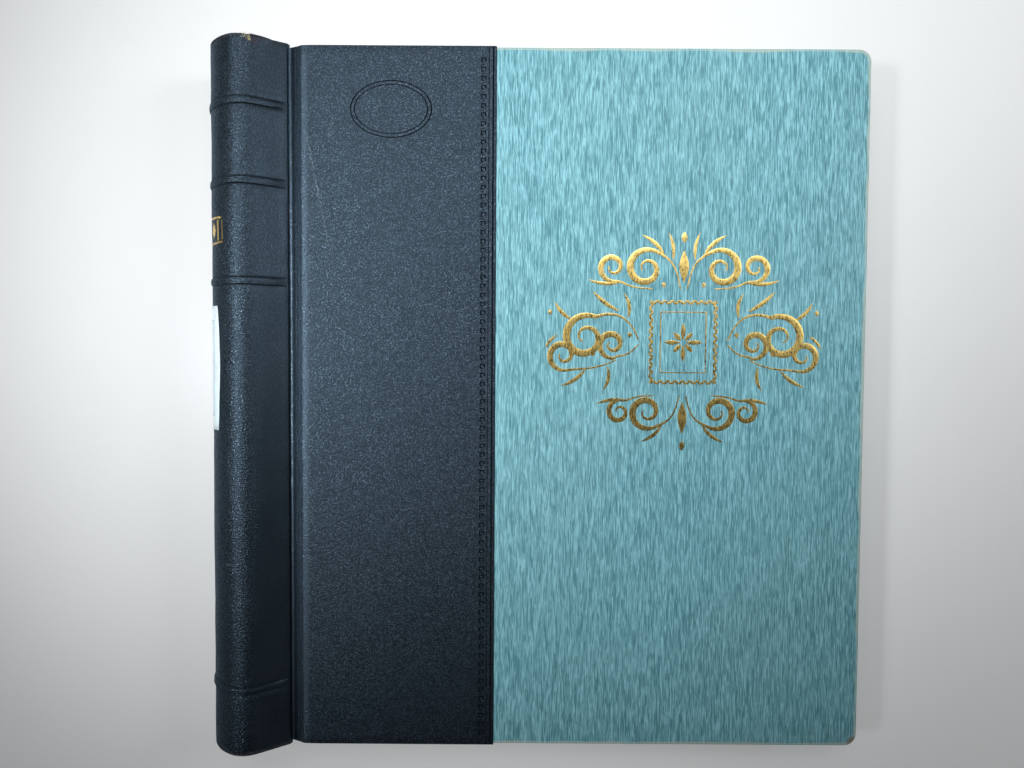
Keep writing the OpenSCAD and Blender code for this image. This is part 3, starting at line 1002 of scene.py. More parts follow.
def wall_sheet(name, section, half, depth=0.0):
    """Sheet along the spine's wall, from the front flap round the back to the back flap."""
    s = sizes()
    turn_lip = math.asin((section.hinge_z - section.lip.z) / s.lip_radius)
    top_angle = math.pi / 2 - section.slope
    under = section.lever_z + 0.05 * MM
    if depth == 0:
        start = Vector((section.flap_x, 0, section.hinge_z))
        lip_foot = section.lip + Vector((math.cos(turn_lip), 0, math.sin(turn_lip))) * s.lip_radius
    else:
        start = Vector((section.flap_x, 0, under))
        lip_foot = Vector((section.flap_x - 0.4 * MM, 0, under))
    mirrored = lambda p: Vector((p.x, 0, -p.z))
    lip_top = section.lip + section.normal * s.lip_radius
    flank_start = section.flank_end(depth, 1.5 * MM if depth == 0 else 0)
    shoulder = section.shoulder_top(depth)
    piece = first_edge(name, start, half)
    sweep_to(start, lip_foot)
    if depth == 0:
        sweep_round(section.lip, top_angle - turn_lip, LIP_STEPS)
        sweep_to(lip_top, flank_start)
    else:
        sweep_to(lip_foot, flank_start, TURNED_STEPS)
    sweep_to(flank_start, shoulder, FLANK_STEPS)
    sweep_round(section.shoulder, section.turn - top_angle, SHOULDER_STEPS)
    sweep_round(section.back, 2 * (math.pi - section.turn), BACK_STEPS)
    sweep_round(mirrored(section.shoulder), section.turn - top_angle, SHOULDER_STEPS)
    sweep_to(mirrored(shoulder), mirrored(flank_start), FLANK_STEPS)
    if depth == 0:
        sweep_to(mirrored(flank_start), mirrored(lip_top))
        sweep_round(mirrored(section.lip), top_angle - turn_lip, LIP_STEPS)
    else:
        sweep_to(mirrored(flank_start), mirrored(lip_foot), TURNED_STEPS)
    sweep_to(mirrored(lip_foot), mirrored(start))
    return piece


def band_places():
    """Where the raised bands cross the spine, from the CAD's cards under the leather."""
    ys = sorted({round(v.co.y / MM, 2) for v in frame["nodes"]["raised_bands"].data.vertices})
    groups = []
    for y in ys:
        if groups and y - groups[-1][-1] < 5:
            groups[-1].append(y)
        else:
            groups.append([y])
    return [(g[0] + g[-1]) / 2 * MM for g in groups]


SPINE_ROWS = 80


class ALBUM_OT_spine_leather(bpy.types.Operator):
    """Makes the leather of the spine, with its raised bands and its caps at head and tail"""

    bl_idname = "album.spine_leather"
    bl_label = "Spine leather"

    def execute(self, context):
        s = sizes()
        section = Section()
        half = section.half
        outer = wall_sheet("spine_cover", section, half)
        turned = []
        for name, way in (("head", 1), ("tail", -1)):
            sheet = wall_sheet(name, section, s.turn_in / 2, s.wall)
            select_all()
            move(0, way * (half - s.turn_in / 2), 0)
            turned.append(sheet)
        piece = joined("spine_cover", [outer, *turned])
        work_on(piece)
        for way in (1, -1):
            pick("edges", lambda e: all(abs(v.co.y - way * half) < 1e-6 for v in e.verts))
            bpy.ops.mesh.bridge_edge_loops()
        merge()
        bpy.ops.mesh.normals_make_consistent(inside=False)

        # Rounds the caps over their cords
        def on_rim(edge, way):
            at_end = all(abs(v.co.y - way * half) < 1e-6 for v in edge.verts)
            faces = edge.link_faces
            return at_end and len(faces) == 2 and abs(faces[0].normal.y - faces[1].normal.y) > 0.5

        pick("edges", lambda e: on_rim(e, 1) or on_rim(e, -1))
        bpy.ops.mesh.bevel(offset=0.8 * MM, segments=4, profile=0.5, clamp_overlap=True)

        # Rows along the spine, and the bands
        pick("edges", lambda e: runs_along(e, 1) and e.calc_length() > 100 * MM)
        bpy.ops.mesh.subdivide(number_cuts=SPINE_ROWS - 1)
        reach = s.band_width / 2
        bands = band_places()
        for y in bands:
            for step in (reach + 0.5 * MM, reach, reach - 0.5 * MM, 0.4 * MM):
                cut(1, y + step)
                cut(1, y - step)
        bands_end = section.flank_end(0, 3.4 * MM).x
        mesh = bmesh.from_edit_mesh(piece.data)
        mesh.normal_update()

        def outside(vertex):
            return any(f.normal.dot(vertex.co - Vector((-12 * MM, vertex.co.y, 0))) > 0
                       for f in vertex.link_faces)

        for inset, rise in ((0.45 * MM, 0.72), (1.2 * MM, 0.28)):
            pick("verts", lambda v: v.co.x < bands_end and outside(v) and any(
                abs(v.co.y - y) < reach - inset for y in bands))
            bpy.ops.transform.shrink_fatten(value=rise * s.band_height)
        pick("verts", lambda v: v.co.x < -1.2 * MM and outside(v) and any(
            abs(abs(v.co.y - y) - reach) < 1e-6 for y in bands))
        bpy.ops.transform.shrink_fatten(value=-0.16 * MM)

        close()
        uneven = bpy.data.textures.new("uneven_leather", "CLOUDS")
        uneven.noise_scale = 22 * MM
        shaped(piece, "DISPLACE", texture=uneven, strength=0.55 * MM, mid_level=0.5,
               texture_coords="LOCAL")
        shaped(piece, "SOLIDIFY", thickness=s.leather, offset=-1)
        done(piece, grained_leather(), 40, ["spine_leather"])
        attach(piece, "binding")
        return {"FINISHED"}


# ---- Covers ----


def soften(width, angle):
    """Bevels every edge of the open piece that turns more than an angle."""
    pick("edges", lambda e: len(e.link_faces) == 2 and e.calc_face_angle(0) > math.radians(angle))
    bpy.ops.mesh.bevel(offset=width, segments=3, profile=0.5, clamp_overlap=True)


def recess(low, high, depth):
    """Sinks the part of the lowest face between two plan corners, upwards."""
    for axis in (0, 1):
        for place in (low[axis], high[axis]):
            cut(axis, place)
    mesh = bmesh.from_edit_mesh(bpy.context.edit_object.data)
    floor = min(v.co.z for v in mesh.verts)
    pick("faces", lambda f: f.normal.z < -0.9 and abs(middle(f).z - floor) < 1e-6
         and low[0] < middle(f).x < high[0] and low[1] < middle(f).y < high[1])
    extrude((0, 0, depth))


def to_side(piece, side):
    """Turns a piece made for the front over to the back cover's side."""
    if side > 0:
        return
    work_on(piece)
    select_all()
    stretch(1, 1, -1)
    bpy.ops.mesh.flip_normals()
    close()


# In millimetres: how far the leather's top falls, at distances beyond the bevel; the fillets, by
# their distance from the paper, half width and depth; the blind oval's two lines and its place;
# the roll's strip, by its distances from the paper, its pitch and its number of marks; and the
# depth of the recess that the joint cloth and the pastedown fill
FALLS = ((0, 0.42), (0.6, 0.29), (1.4, 0.2), (2.6, 0.12), (4.4, 0.05), (8, 0))
FILLETS = ((1.5, 0.4, 0.3), (3.4, 0.25, 0.16))
OVALS, OVAL_PLACE = ((36, 25), (32.6, 21.6)), (46, 130)
ROLL_FAR, ROLL_NEAR, ROLL_PITCH, ROLL_COUNT = 7.6, 4.6, 4, 77
RECESS = 0.36


class ALBUM_OT_cover_leather(bpy.types.Operator):
    """Makes the leather halves of the covers, with their bevel and blind tooling"""

    bl_idname = "album.cover_leather"
    bl_label = "Cover leather"

    def execute(self, context):
        for name, side in SIDES.items():
            self.half_cover(name, side)
        return {"FINISHED"}

    def half_cover(self, name, side):
        s = sizes()
        low, high = bench_box("front_leather")
        hinge_z = Section().hinge_z
        run = (high.z - hinge_z) / math.tan(s.bevel_angle)
        piece = block(f"{name}_cover_leather", low, high)
        cut(0, s.bevel_foot)
        cut(0, s.bevel_foot + run)
        pick("verts", lambda v: v.co.x < s.bevel_foot + 1e-6 and v.co.z > hinge_z)
        move(0, 0, hinge_z - high.z)
        edge = s.bevel_foot + run
        for out, _ in FALLS:
            cut(0, edge + out * MM)
        for out, fall in FALLS:
            pick("verts", lambda v: abs(v.co.x - edge - out * MM) < 1e-6 and v.co.z > high.z - 1e-6)
            move(0, 0, -fall * MM)
        soften(s.soft_edge, 22)
        window = bench_box("front_joint_cloth")
        recess((window[0].x, window[0].y), (high.x, window[1].y), RECESS * MM)

        # Two fillets beside the paper
        for back, half, depth in FILLETS:
            line = high.x - back * MM
            for place in (line - half * MM, line, line + half * MM):
                cut(0, place)
            pick("verts", lambda v: abs(v.co.x - line) < 1e-6 and v.co.z > high.z - 1e-6)
            move(0, 0, -depth * MM)

        # Strip that the roll prints
        pitch = ROLL_PITCH * MM
        strip = (high.x - ROLL_FAR * MM, high.x - ROLL_NEAR * MM)
        end = ROLL_COUNT * pitch / 2
        for axis, places in ((0, strip), (1, (-end, end))):
            for place in places:
                cut(axis, place)
        close()
        if name == "front":
            for width, height in OVALS:
                x, y = OVAL_PLACE
                ring = oval_ring(width * MM, height * MM, (x * MM, y * MM, high.z + 0.08 * MM))
                shaped(piece, "BOOLEAN", object=ring, operation="DIFFERENCE", solver="EXACT")
                bpy.data.objects.remove(ring)
        work_on(piece)
        pick("faces", lambda f: f.normal.z > 0.9 and strip[0] < middle(f).x < strip[1]
             and abs(middle(f).y) < end)
        bpy.ops.mesh.delete(type="FACE")
        roll = rolled_strip(strip, pitch, ROLL_COUNT, high.z, s.tooling)
        piece = joined(f"{name}_cover_leather", [piece, roll])
        to_side(piece, side)
        done(piece, grained_leather(), 30, [f"{name}_leather"])
        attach(piece, f"{name}_cover")


def oval_ring(width, height, place):
    """A thin oval ring, that cuts one line of an oval device."""
    ring = begin("ring", bpy.ops.mesh.primitive_torus_add, major_radius=0.5, minor_radius=0.01,
                 major_segments=96, minor_segments=8)
    select_all()
    stretch(width, height, 30 * MM)
    move(*place)
    close()
    return ring


ROLL_MARK = (
    ".....",
    ".##..",
    ".#..#",
    ".#..#",
    ".####",
    ".....",
    "..#..",
)


def rolled_strip(strip, pitch, marks, top, depth):
    """A strip of leather that a roll has printed with one mark after another."""
    columns, rows = len(ROLL_MARK[0]), len(ROLL_MARK)
    wide = (strip[1] - strip[0]) / columns
    tall = pitch / rows
    mid = Vector((sum(strip) / 2, -(marks - 1) * pitch / 2, top))
    tile = begin("roll", bpy.ops.mesh.primitive_grid_add, x_subdivisions=columns,
                 y_subdivisions=rows, size=1, location=mid)
    select_all()
    stretch(strip[1] - strip[0], pitch, 1, mid)
    low = -marks * pitch / 2

    def pressed(face):
        at = middle(face)
        return ROLL_MARK[int((at.y - low) / tall)][int((at.x - strip[0]) / wide)] == "#"

    pick("faces", pressed)
    extrude((0, 0, -depth))
    close()
    return shaped(tile, "ARRAY", count=marks, use_relative_offset=False, use_constant_offset=True,
                  constant_offset_displace=(0, pitch, 0), use_merge_vertices=True,
                  merge_threshold=1e-6)


class ALBUM_OT_cover_paper(bpy.types.Operator):
    """Makes the paper halves of the covers, with their rounded corners"""

    bl_idname = "album.cover_paper"
    bl_label = "Cover paper"

    def execute(self, context):
        s = sizes()
        for name, side in SIDES.items():
            low, high = bench_box("front_paper")
            piece = block(f"{name}_cover_paper", low, high)
            pick("edges", lambda e: runs_along(e, 2) and middle(e).x > high.x - 1e-6)
            bpy.ops.mesh.bevel(offset=s.corner, segments=10, profile=0.5)
            pick("edges", lambda e: len(e.link_faces) == 2 and middle(e).x > low.x + 1e-6
                 and e.calc_face_angle(0) > math.radians(60))
            bpy.ops.mesh.bevel(offset=s.crisp_edge, segments=3, profile=0.5)
            window = bench_box("front_pastedown")
            recess((low.x, window[0].y), (window[1].x, window[1].y), RECESS * MM)
            close()
            to_side(piece, side)
            done(piece, cover_paper(), 30, [f"{name}_paper"])
            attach(piece, f"{name}_cover")
        return {"FINISHED"}


# How far the joint leather rises, at distances from the hinge line, in millimetres
JOINT_RISE = (
    (0.4, 0.06), (0.8, 0.16), (1.2, 0.31), (1.6, 0.5), (2.0, 0.73), (2.5, 1.05), (3.3, 1.5),
)


class ALBUM_OT_joint_leather(bpy.types.Operator):
    """Makes the leather that lies in the joint between the spine and each cover"""

    bl_idname = "album.joint_leather"
    bl_label = "Joint leather"

    def execute(self, context):
        section = Section()
        half = section.half - 1.4 * MM
        for name, side in SIDES.items():
            start = Vector((-0.75 * MM, 0, section.hinge_z + 0.03 * MM))
            piece = first_edge(f"{name}_joint_leather", start, half)
            here = sweep_to(start, Vector((0, 0, start.z)), 6)
            for out, rise in JOINT_RISE:
                here = sweep_to(here, Vector((out * MM, 0, section.hinge_z + rise * MM)))
            pick("edges", lambda e: runs_along(e, 1))
            bpy.ops.mesh.subdivide(number_cuts=40)
            face_towards((0, 0, 1))
            close()
            shaped(piece, "SOLIDIFY", thickness=0.35 * MM, offset=-1)
            to_side(piece, side)
            done(piece, grained_leather(), 40)
            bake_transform(piece)
        return {"FINISHED"}


# ---- Trim of the spine ----


# The label's half width round the back, and how far its side edges bow, in millimetres
LABEL_REACH, LABEL_BOW = 20.6, 1.7


class ALBUM_OT_spine_label(bpy.types.Operator):
    """Makes the blank paper label that is pasted round the back of the spine"""

    bl_idname = "album.spine_label"
    bl_label = "Spine label"

    def execute(self, context):
        section = Section()
        low, high = bench_box("spine_label")
        half_h, mid = (high.y - low.y) / 2, (high.y + low.y) / 2
        half_angle = LABEL_REACH * MM / section.back_r
        out = 0.35 * MM
        piece = first_edge("spine_label_paper", section.on_back(math.pi - half_angle, out), half_h)
        sweep_round(section.back, 2 * half_angle, 36)
        pick("edges", lambda e: runs_along(e, 1))
        bpy.ops.mesh.subdivide(number_cuts=13)
        rows = sorted({round(v.co.y, 6) for v in bmesh.from_edit_mesh(piece.data).verts})
        for y in rows:
            bow = LABEL_BOW * MM * (1 - (y / half_h) ** 2) / section.back_r
            for way in (1, -1):
                edge = section.on_back(math.pi - way * half_angle, out)
                pick("verts", lambda v: abs(v.co.y - y) < 1e-5 and abs(v.co.z - edge.z) < 1e-4)
                bpy.ops.transform.rotate(value=-way * bow, orient_axis="Y",
                                         center_override=tuple(section.back))
        select_all()
        move(0, mid, 0)
        face_towards((-1, 0, 0), 0.5)
        close()
        done(piece, label_paper(), 40, ["spine_label"])
        shaped(piece, "SHRINKWRAP", target=bpy.data.objects["spine_cover"],
               wrap_method="NEAREST_SURFACEPOINT", wrap_mode="ABOVE_SURFACE", offset=0.04 * MM)
        shaped(piece, "SOLIDIFY", thickness=0.16 * MM, offset=1)
        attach(piece, "binding")
        return {"FINISHED"}


def stroke(points, widths, closed=False):
    """A stroke of foil along points in the plan, as wide at each point as its width."""
    clear_selection()
    bpy.ops.curve.primitive_nurbs_path_add(location=(0, 0, 0))
    path = bpy.context.object
    curve = path.data
    curve.splines.clear()
    spline = curve.splines.new("POLY" if closed else "NURBS")
    spline.points.add(len(points) - 1)
    spline.use_cyclic_u = closed
    for point, (x, y), width in zip(spline.points, points, widths):
        point.co = (x * MM, y * MM, 0, 1)
        point.radius = width
    spline.order_u = min(4, len(points))
    spline.use_endpoint_u = True
    curve.dimensions = "3D"
    curve.bevel_depth = 0.5 * MM
    curve.bevel_resolution = 3
    curve.resolution_u = 4
    curve.use_fill_caps = True
    hold(path)
    bpy.ops.object.convert(target="MESH")
    return bpy.context.object


def scroll(centre, start, end, turns, angle, steps=26):
    """Points of a spiral from one radius to another."""
    points = []
    for i in range(steps + 1):
        t = i / steps
        r = start + (end - start) * t
        a = angle + turns * 2 * math.pi * t
        points.append((centre[0] + r * math.cos(a), centre[1] + r * math.sin(a)))
    return points


def swelling(count, thin, thick, peak):
    """Widths that swell from thin to thick and back along a stroke."""
    widths = []
    for i in range(count):
        t = i / (count - 1)
        t = 0.5 * t / peak if t < peak else 0.5 + 0.5 * (t - peak) / (1 - peak)
        widths.append(thin + (thick - thin) * math.sin(math.pi * t) ** 1.6)
    return widths


# The scrollwork on either side of the stamp: scrolls (lead points, spiral, width, where it is
# widest), leaves (points, width) and drops (place, ends, width), in millimetres from the middle
# of the stamp, for the right half. A spiral is its centre, two radii, turns and starting angle.
SCROLLS = (
    # Wing beside the stamp
    ([(20, 1), (23, 9), (31, 14), (40, 11)], ((44, 2), 10.5, 2.0, -1.5, 115), 3.4, 0.3),
    ([(20, -1), (24, -6), (30, -6)], ((32, -1), 6.6, 1.4, 1.4, -100), 2.8, 0.35),
    ([(30, -8), (38, -12), (48, -12)], ((54, -6), 7.2, 1.5, 1.35, -105), 2.8, 0.35),
    # Crest above it
    ([(1.5, 24), (3, 34), (9, 39)], ((17, 33), 9.2, 1.8, -1.45, 135), 3.2, 0.34),
    ([(14, 24), (22, 24), (28, 27)], ((32, 33.5), 6.6, 1.5, 1.35, -110), 2.6, 0.35),
    # Pendant below it
    ([(1.5, -24), (3, -33), (9, -37)], ((16, -31.5), 8.2, 1.7, 1.45, -135), 3.0, 0.34),
    ([(13, -24), (20, -24), (25, -26.5)], ((28.5, -31.5), 5.6, 1.4, -1.3, 110), 2.4, 0.35),
)
LEAVES = (
    ([(29, 14), (36, 17), (41, 23)], 2.6), ([(50, 10), (55, 12), (58, 18)], 2.4),
    ([(25, 11), (23, 17), (27, 22)], 2.2), ([(44, -12.5), (48, -18), (55, -20)], 2.4),
    ([(34, -11), (32, -17), (36, -22)], 2.2), ([(57, 3), (61, 0), (62, -3)], 1.8),
    ([(9, 39), (12, 45), (19, 48)], 2.4), ([(5, 37), (4, 43), (7, 49)], 2.0),
    ([(28, 27), (36, 25), (43, 28)], 2.2), ([(9, -37), (12, -43), (19, -45)], 2.2),
    ([(25, -26.5), (32, -25), (39, -28)], 2.2),
)
DROP_SHARES = (0.1, 0.55, 0.95, 1.05, 0.95, 0.55, 0.1)
DROPS = (
    (0, 27, 41, 4.2), (0, 44.5, 49.5, 2.6), (0, -41, -27, 4.0), (0, -49, -44.5, 2.4),
    (24, 2, 4.6, 2.0), (40.5, -6.5, -4, 2.0), (9, 24.5, 27, 1.8), (60, 12, 14.6, 1.8),
)

# The stamp's width, height and tooth, the half sizes of the frame in it, and its middle
STAMP = (30, 37, 3.35)
STAMP_FRAME = (10.2, 13.6)
STAMP_MIDDLE = (177.5, 27)


def perforated(width, height, tooth):
    """Outline of a stamp: along each side, round bites between short teeth."""
    outline = []
    for turn in range(4):
        side, across = (height, width) if turn % 2 else (width, height)
        count = round(side / tooth)
        pitch = side / count
        spin = Matrix.Rotation(turn * math.pi / 2, 2)
        for i in range(count):
            mid = -side / 2 + (i + 0.5) * pitch
            for k in range(7):
                a = math.pi - k * math.pi / 6
                reach = 0.31 * pitch
                outline.append(spin @ Vector((mid + reach * math.cos(a),
                                              -across / 2 + reach * math.sin(a))))
    return [tuple(p) for p in outline]


class ALBUM_OT_cover_gold(bpy.types.Operator):
    """Makes the gold flourishes on the front cover"""

    bl_idname = "album.cover_gold"
    bl_label = "Cover gold"

    def execute(self, context):
        s = sizes()
        top = bench_box("front_paper")[1].z
        strokes = []
        mid = Vector(STAMP_MIDDLE)
        for way in (1, -1):
            for lead, (centre, r0, r1, turns, angle), widest, peak in SCROLLS:
                path = lead + scroll(centre, r0, r1, turns, math.radians(angle))
                path = [(mid.x + way * x, mid.y + y) for x, y in path]
                strokes.append(stroke(path, swelling(len(path), 0.6, widest, peak)))
            for path, widest in LEAVES:
                path = [(mid.x + way * x, mid.y + y) for x, y in path]
                strokes.append(stroke(path, [0.4, 1.4 * widest, 0.1]))
            for x, y0, y1, widest in DROPS:
                if x or way > 0:
                    path = [(mid.x + way * x, mid.y + y0 + (y1 - y0) * i / 6) for i in range(7)]
                    strokes.append(stroke(path, [widest * v for v in DROP_SHARES]))
        edge = [(mid.x + x, mid.y + y) for x, y in perforated(*STAMP)]
        strokes.append(stroke(edge, [1.1] * len(edge), closed=True))
        wide, tall = STAMP_FRAME
        corners = ((-1, -1), (1, -1), (1, 1), (-1, 1))
        inner = [(mid.x + x * wide, mid.y + y * tall) for x, y in corners]
        strokes.append(stroke(inner, [0.7] * 4, closed=True))
        for i in range(8):
            a = i * math.pi / 4
            reach = 8.6 if i % 2 == 0 else 6.2
            petal = [(mid.x + r * math.cos(a), mid.y + r * math.sin(a))
                     for r in (1.2, 0.35 * reach, 0.6 * reach, 0.85 * reach, reach)]
            strokes.append(stroke(petal, [0.2, 1.6, 2.7, 1.5, 0.1]))
        piece = joined("cover_gold", strokes)
        work_on(piece)
        select_all()
        stretch(1, 1, s.foil / (1.8 * MM))
        move(0, 0, top)
        close()
        done(piece, gold_foil(), 60)
        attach(piece, "front_cover")
        return {"FINISHED"}


# The gold on the spine, in millimetres: its band along the spine, its reach round the back, the
# width of its fillets, and the lozenges' pitch and half width
GOLD_BAND, GOLD_REACH, GOLD_FILLET = (69.3, 81.3), 25.4, 0.9
LOZENGE_PITCH, LOZENGE_HALF = 8.4, 2.8


class ALBUM_OT_spine_gold(bpy.types.Operator):
    """Makes the gold fillets and lozenges on the back of the spine"""

    bl_idname = "album.spine_gold"
    bl_label = "Spine gold"

    def execute(self, context):
        section = Section()
        y_low, y_high = (v * MM for v in GOLD_BAND)
        out = section.depth + 6 * MM
        strips = []

        def height(round_it):
            """Height that lands that far round the back, when it is pressed on from behind."""
            return (out + section.back.x) * math.tan(round_it * MM / section.back_r)

        def strip(y0, y1, u0, u1):
            block("strip", (-out - 0.01 * MM, y0, height(u0)), (-out, y1, height(u1)))
            strips.append(bpy.context.object)

        reach, wide = GOLD_REACH, GOLD_FILLET * MM
        for y in (y_low, y_high - wide):
            strip(y, y + wide, -reach, reach)
        for u in (-reach, 3.6 - reach, reach - 4.4, reach - 0.8):
            strip(y_low + 1.4 * MM, y_high - 1.4 * MM, u, u + 0.8)
        mid = (y_low + y_high) / 2
        for i in range(-2, 3):
            z = height(LOZENGE_PITCH * i)
            piece = begin("lozenge", bpy.ops.mesh.primitive_circle_add, vertices=4, radius=1,
                          fill_type="NGON", location=(-out, mid, z), rotation=(0, math.pi / 2, 0))
            wide = height(LOZENGE_PITCH * i + LOZENGE_HALF) - z
            select_all()
            stretch(1, 3.8 * MM, wide, (-out, mid, z))
            strips.append(piece)
        piece = joined("spine_gold", strips)
        work_on(piece)
        for i in range(-32, 33):
            cut(2, i * 1.3 * MM)
        close()
        done(piece, gold_foil(), 60)
        shaped(piece, "SHRINKWRAP", target=bpy.data.objects["spine_cover"],
               wrap_method="NEAREST_SURFACEPOINT", wrap_mode="ABOVE_SURFACE", offset=0.05 * MM)
        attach(piece, "binding")
        return {"FINISHED"}


THREADS = 22


class ALBUM_OT_cap_threads(bpy.types.Operator):
    """Makes the frayed threads that stick out of the worn head cap"""

    bl_idname = "album.cap_threads"
    bl_label = "Frayed threads"

    def execute(self, context):
        section = Section()
        chance = random.Random(sizes().seed)
        root = section.shoulder + Vector((0.42, 0, 0.907)) * (sizes().shoulder_radius - 0.7 * MM)
        threads = []
        for _ in range(THREADS):
            clear_selection()
            bpy.ops.curve.primitive_nurbs_path_add(location=(0, 0, 0))
            thread = bpy.context.object
            spline = thread.data.splines[0]
            x = root.x + chance.uniform(-2.6, 1.6) * MM
            z = root.z + chance.uniform(-0.5, 0.7) * MM
            lean, rise = chance.uniform(-1.6, 1.6), chance.uniform(1.4, 3.4)
            for k, point in enumerate(spline.points):
                t = k / 4
                point.co = (x + lean * t * t * MM + chance.uniform(-0.2, 0.2) * t * MM,
                            section.half + (rise * t - 2.6) * MM,
                            z + (2.0 * t - 0.9 * t * t * chance.uniform(0.2, 1.6)) * MM, 1)
                point.radius = 1 - 0.5 * t
            spline.use_endpoint_u = True
            thread.data.bevel_depth = 0.13 * MM
            thread.data.bevel_resolution = 1
            thread.data.resolution_u = 4
            bpy.ops.object.convert(target="MESH")
            threads.append(bpy.context.object)
        piece = joined("cap_threads", threads)
        done(piece, cotton_thread(), 60)
        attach(piece, "binding")
        return {"FINISHED"}


# ---- Leaves ----


def levels(node):
    """Bottoms and tops of the sheets of a CAD node, from the top sheet down."""
    zs = sorted({round((BENCH @ v.co).z / MM, 3) for v in frame["nodes"][node].data.vertices})
    zs = [z for z, before in zip(zs, [-99, *zs]) if z - before > 0.004]
    return [(zs[i] * MM, zs[i + 1] * MM) for i in range(0, len(zs) - 1, 2)][::-1]


def card(name, low, high, chance):
    """A leaf of card with round outer corners, that lies a little out of line."""
    slip = [chance.uniform(-0.35, 0.1) * MM, chance.uniform(-0.3, 0.3) * MM]
    piece = block(name, (low[0], low[1] + slip[1], low[2]),
                  (high[0] + slip[0], high[1] + slip[1], high[2]))
    pick("edges", lambda e: runs_along(e, 2) and middle(e).x > high[0] - 2 * MM)
    bpy.ops.mesh.bevel(offset=LEAF_CORNER * MM, segments=6, profile=0.5)
    close()
    return piece


class ALBUM_OT_leaves(bpy.types.Operator):
    """Makes the leaves: the block under the fan, and those that turn with the front cover"""

    bl_idname = "album.leaves"
    bl_label = "Leaves"

    def execute(self, context):
        chance = random.Random(sizes().seed)
        low, high = bench_box("leaf_block")
        stack = [
            card(f"card_{i}", (low.x, low.y, bottom), (high.x, high.y, top), chance)
            for i, (bottom, top) in enumerate(levels("leaf_block"))
        ]
        piece = joined("leaf_stack", stack)
        done(piece, leaf_card(), 30, ["leaf_block"])
        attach(piece, "binding")
        for leaf in TURNING:
            low, high = bench_box(leaf)
            piece = card(f"{leaf}_card", low, high, chance)
            done(piece, printed_leaf(leaf), 30, [leaf])
            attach(piece, leaf)
        return {"FINISHED"}


class ALBUM_OT_leaf_hinges(bpy.types.Operator):
    """Makes the linen hinges of the leaves that turn"""

    bl_idname = "album.leaf_hinges"
    bl_label = "Leaf hinges"

    def execute(self, context):
        stubs = levels("stub_block")
        half = bench_box("flyleaf")[1].y
        for i, leaf in enumerate(TURNING):
            low, high = bench_box(f"{leaf}_linen")
            fold = low.x - 0.15 * MM
            thick = high.z - low.z
            stub_top = stubs[i][1] + thick
            start = Vector((fold - 8 * MM, 0, stub_top))
            piece = first_edge(f"{leaf}_hinge", start, half)
            here = sweep_to(start, Vector((fold - 1.2 * MM, 0, stub_top)))
            here = sweep_to(here, Vector((fold - 0.5 * MM, 0, high.z)), 3)
            here = sweep_to(here, Vector((fold + 0.5 * MM, 0, high.z)), 8)
            sweep_to(here, Vector((high.x, 0, high.z)), 2)
            face_towards((0, 0, 1))
            close()
            shaped(piece, "SOLIDIFY", thickness=thick, offset=-1)
            stood_for = [f"{leaf}_linen"] + (["stub_linen"] if i == 0 else [])
            done(piece, linen_weave(), 40, stood_for)
            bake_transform(piece)
        return {"FINISHED"}


class ALBUM_OT_inner_finishes(bpy.types.Operator):
    """Gives the boards, endpapers, clamp and linings their finishes"""

    bl_idname = "album.inner_finishes"
    bl_label = "Inner finishes"

    def execute(self, context):
        c = colours()
        board = papered("mill board", c.board, shade_of(c.board, 0.6), 0.9)
        endpaper = papered("toned endpaper", c.leaf, c.leaf_toned, 0.85, (0.12, 0.5, 0.5))
        cloth = woven("joint weave", c.cloth, shade_of(c.cloth, 0.4), 0.6)
        finishes = {
            "spine_spring": brushed_spring(),
            "spine_lining": papered("brown lining", c.lining, shade_of(c.lining, 0.7), 0.85),
            "raised_bands": board,
            "head_cord": cotton_thread(),
            "tail_cord": cotton_thread(),
            "front_lever": lever_enamel(),
            "back_lever": lever_enamel(),
            "stub_block": leaf_card(),
            "leaf_block_linen": linen_weave(),
        }
        for name in SIDES:
            finishes[f"{name}_board"] = board
            finishes[f"{name}_pastedown"] = endpaper
            finishes[f"{name}_joint_cloth"] = cloth
        for node, material in finishes.items():
            mesh = frame["nodes"][node].data
            mesh.materials.clear()
            mesh.materials.append(material)
        return {"FINISHED"}


# ---- Stage ----


# Each lamp's name, place, aim and size in metres, power in watts and spread in degrees
LAMPS = (
    ("key_light", (0.06, 0.38, 0.62), (0.07, 0.3, 0.04), (0.6, 0.36), 0.86, 78),
    ("side_light", (-0.52, 0.04, 0.79), (-0.11, 0.04, 0.05), (0.14, 0.13), 0.27, 36),
    ("fill_light", (0.6, 0.24, 0.6), (0.0, 0.1, 0.05), (0.25, 0.35), 0.2, 50),
)

# The camera's place and lens in millimetres, and its turn in radians
CAMERA_PLACE = (5.5383, 22.4795, 404.3586)
CAMERA_TURN = (-0.0395, 0.0412, 0.0063)
CAMERA_LENS = 28.77


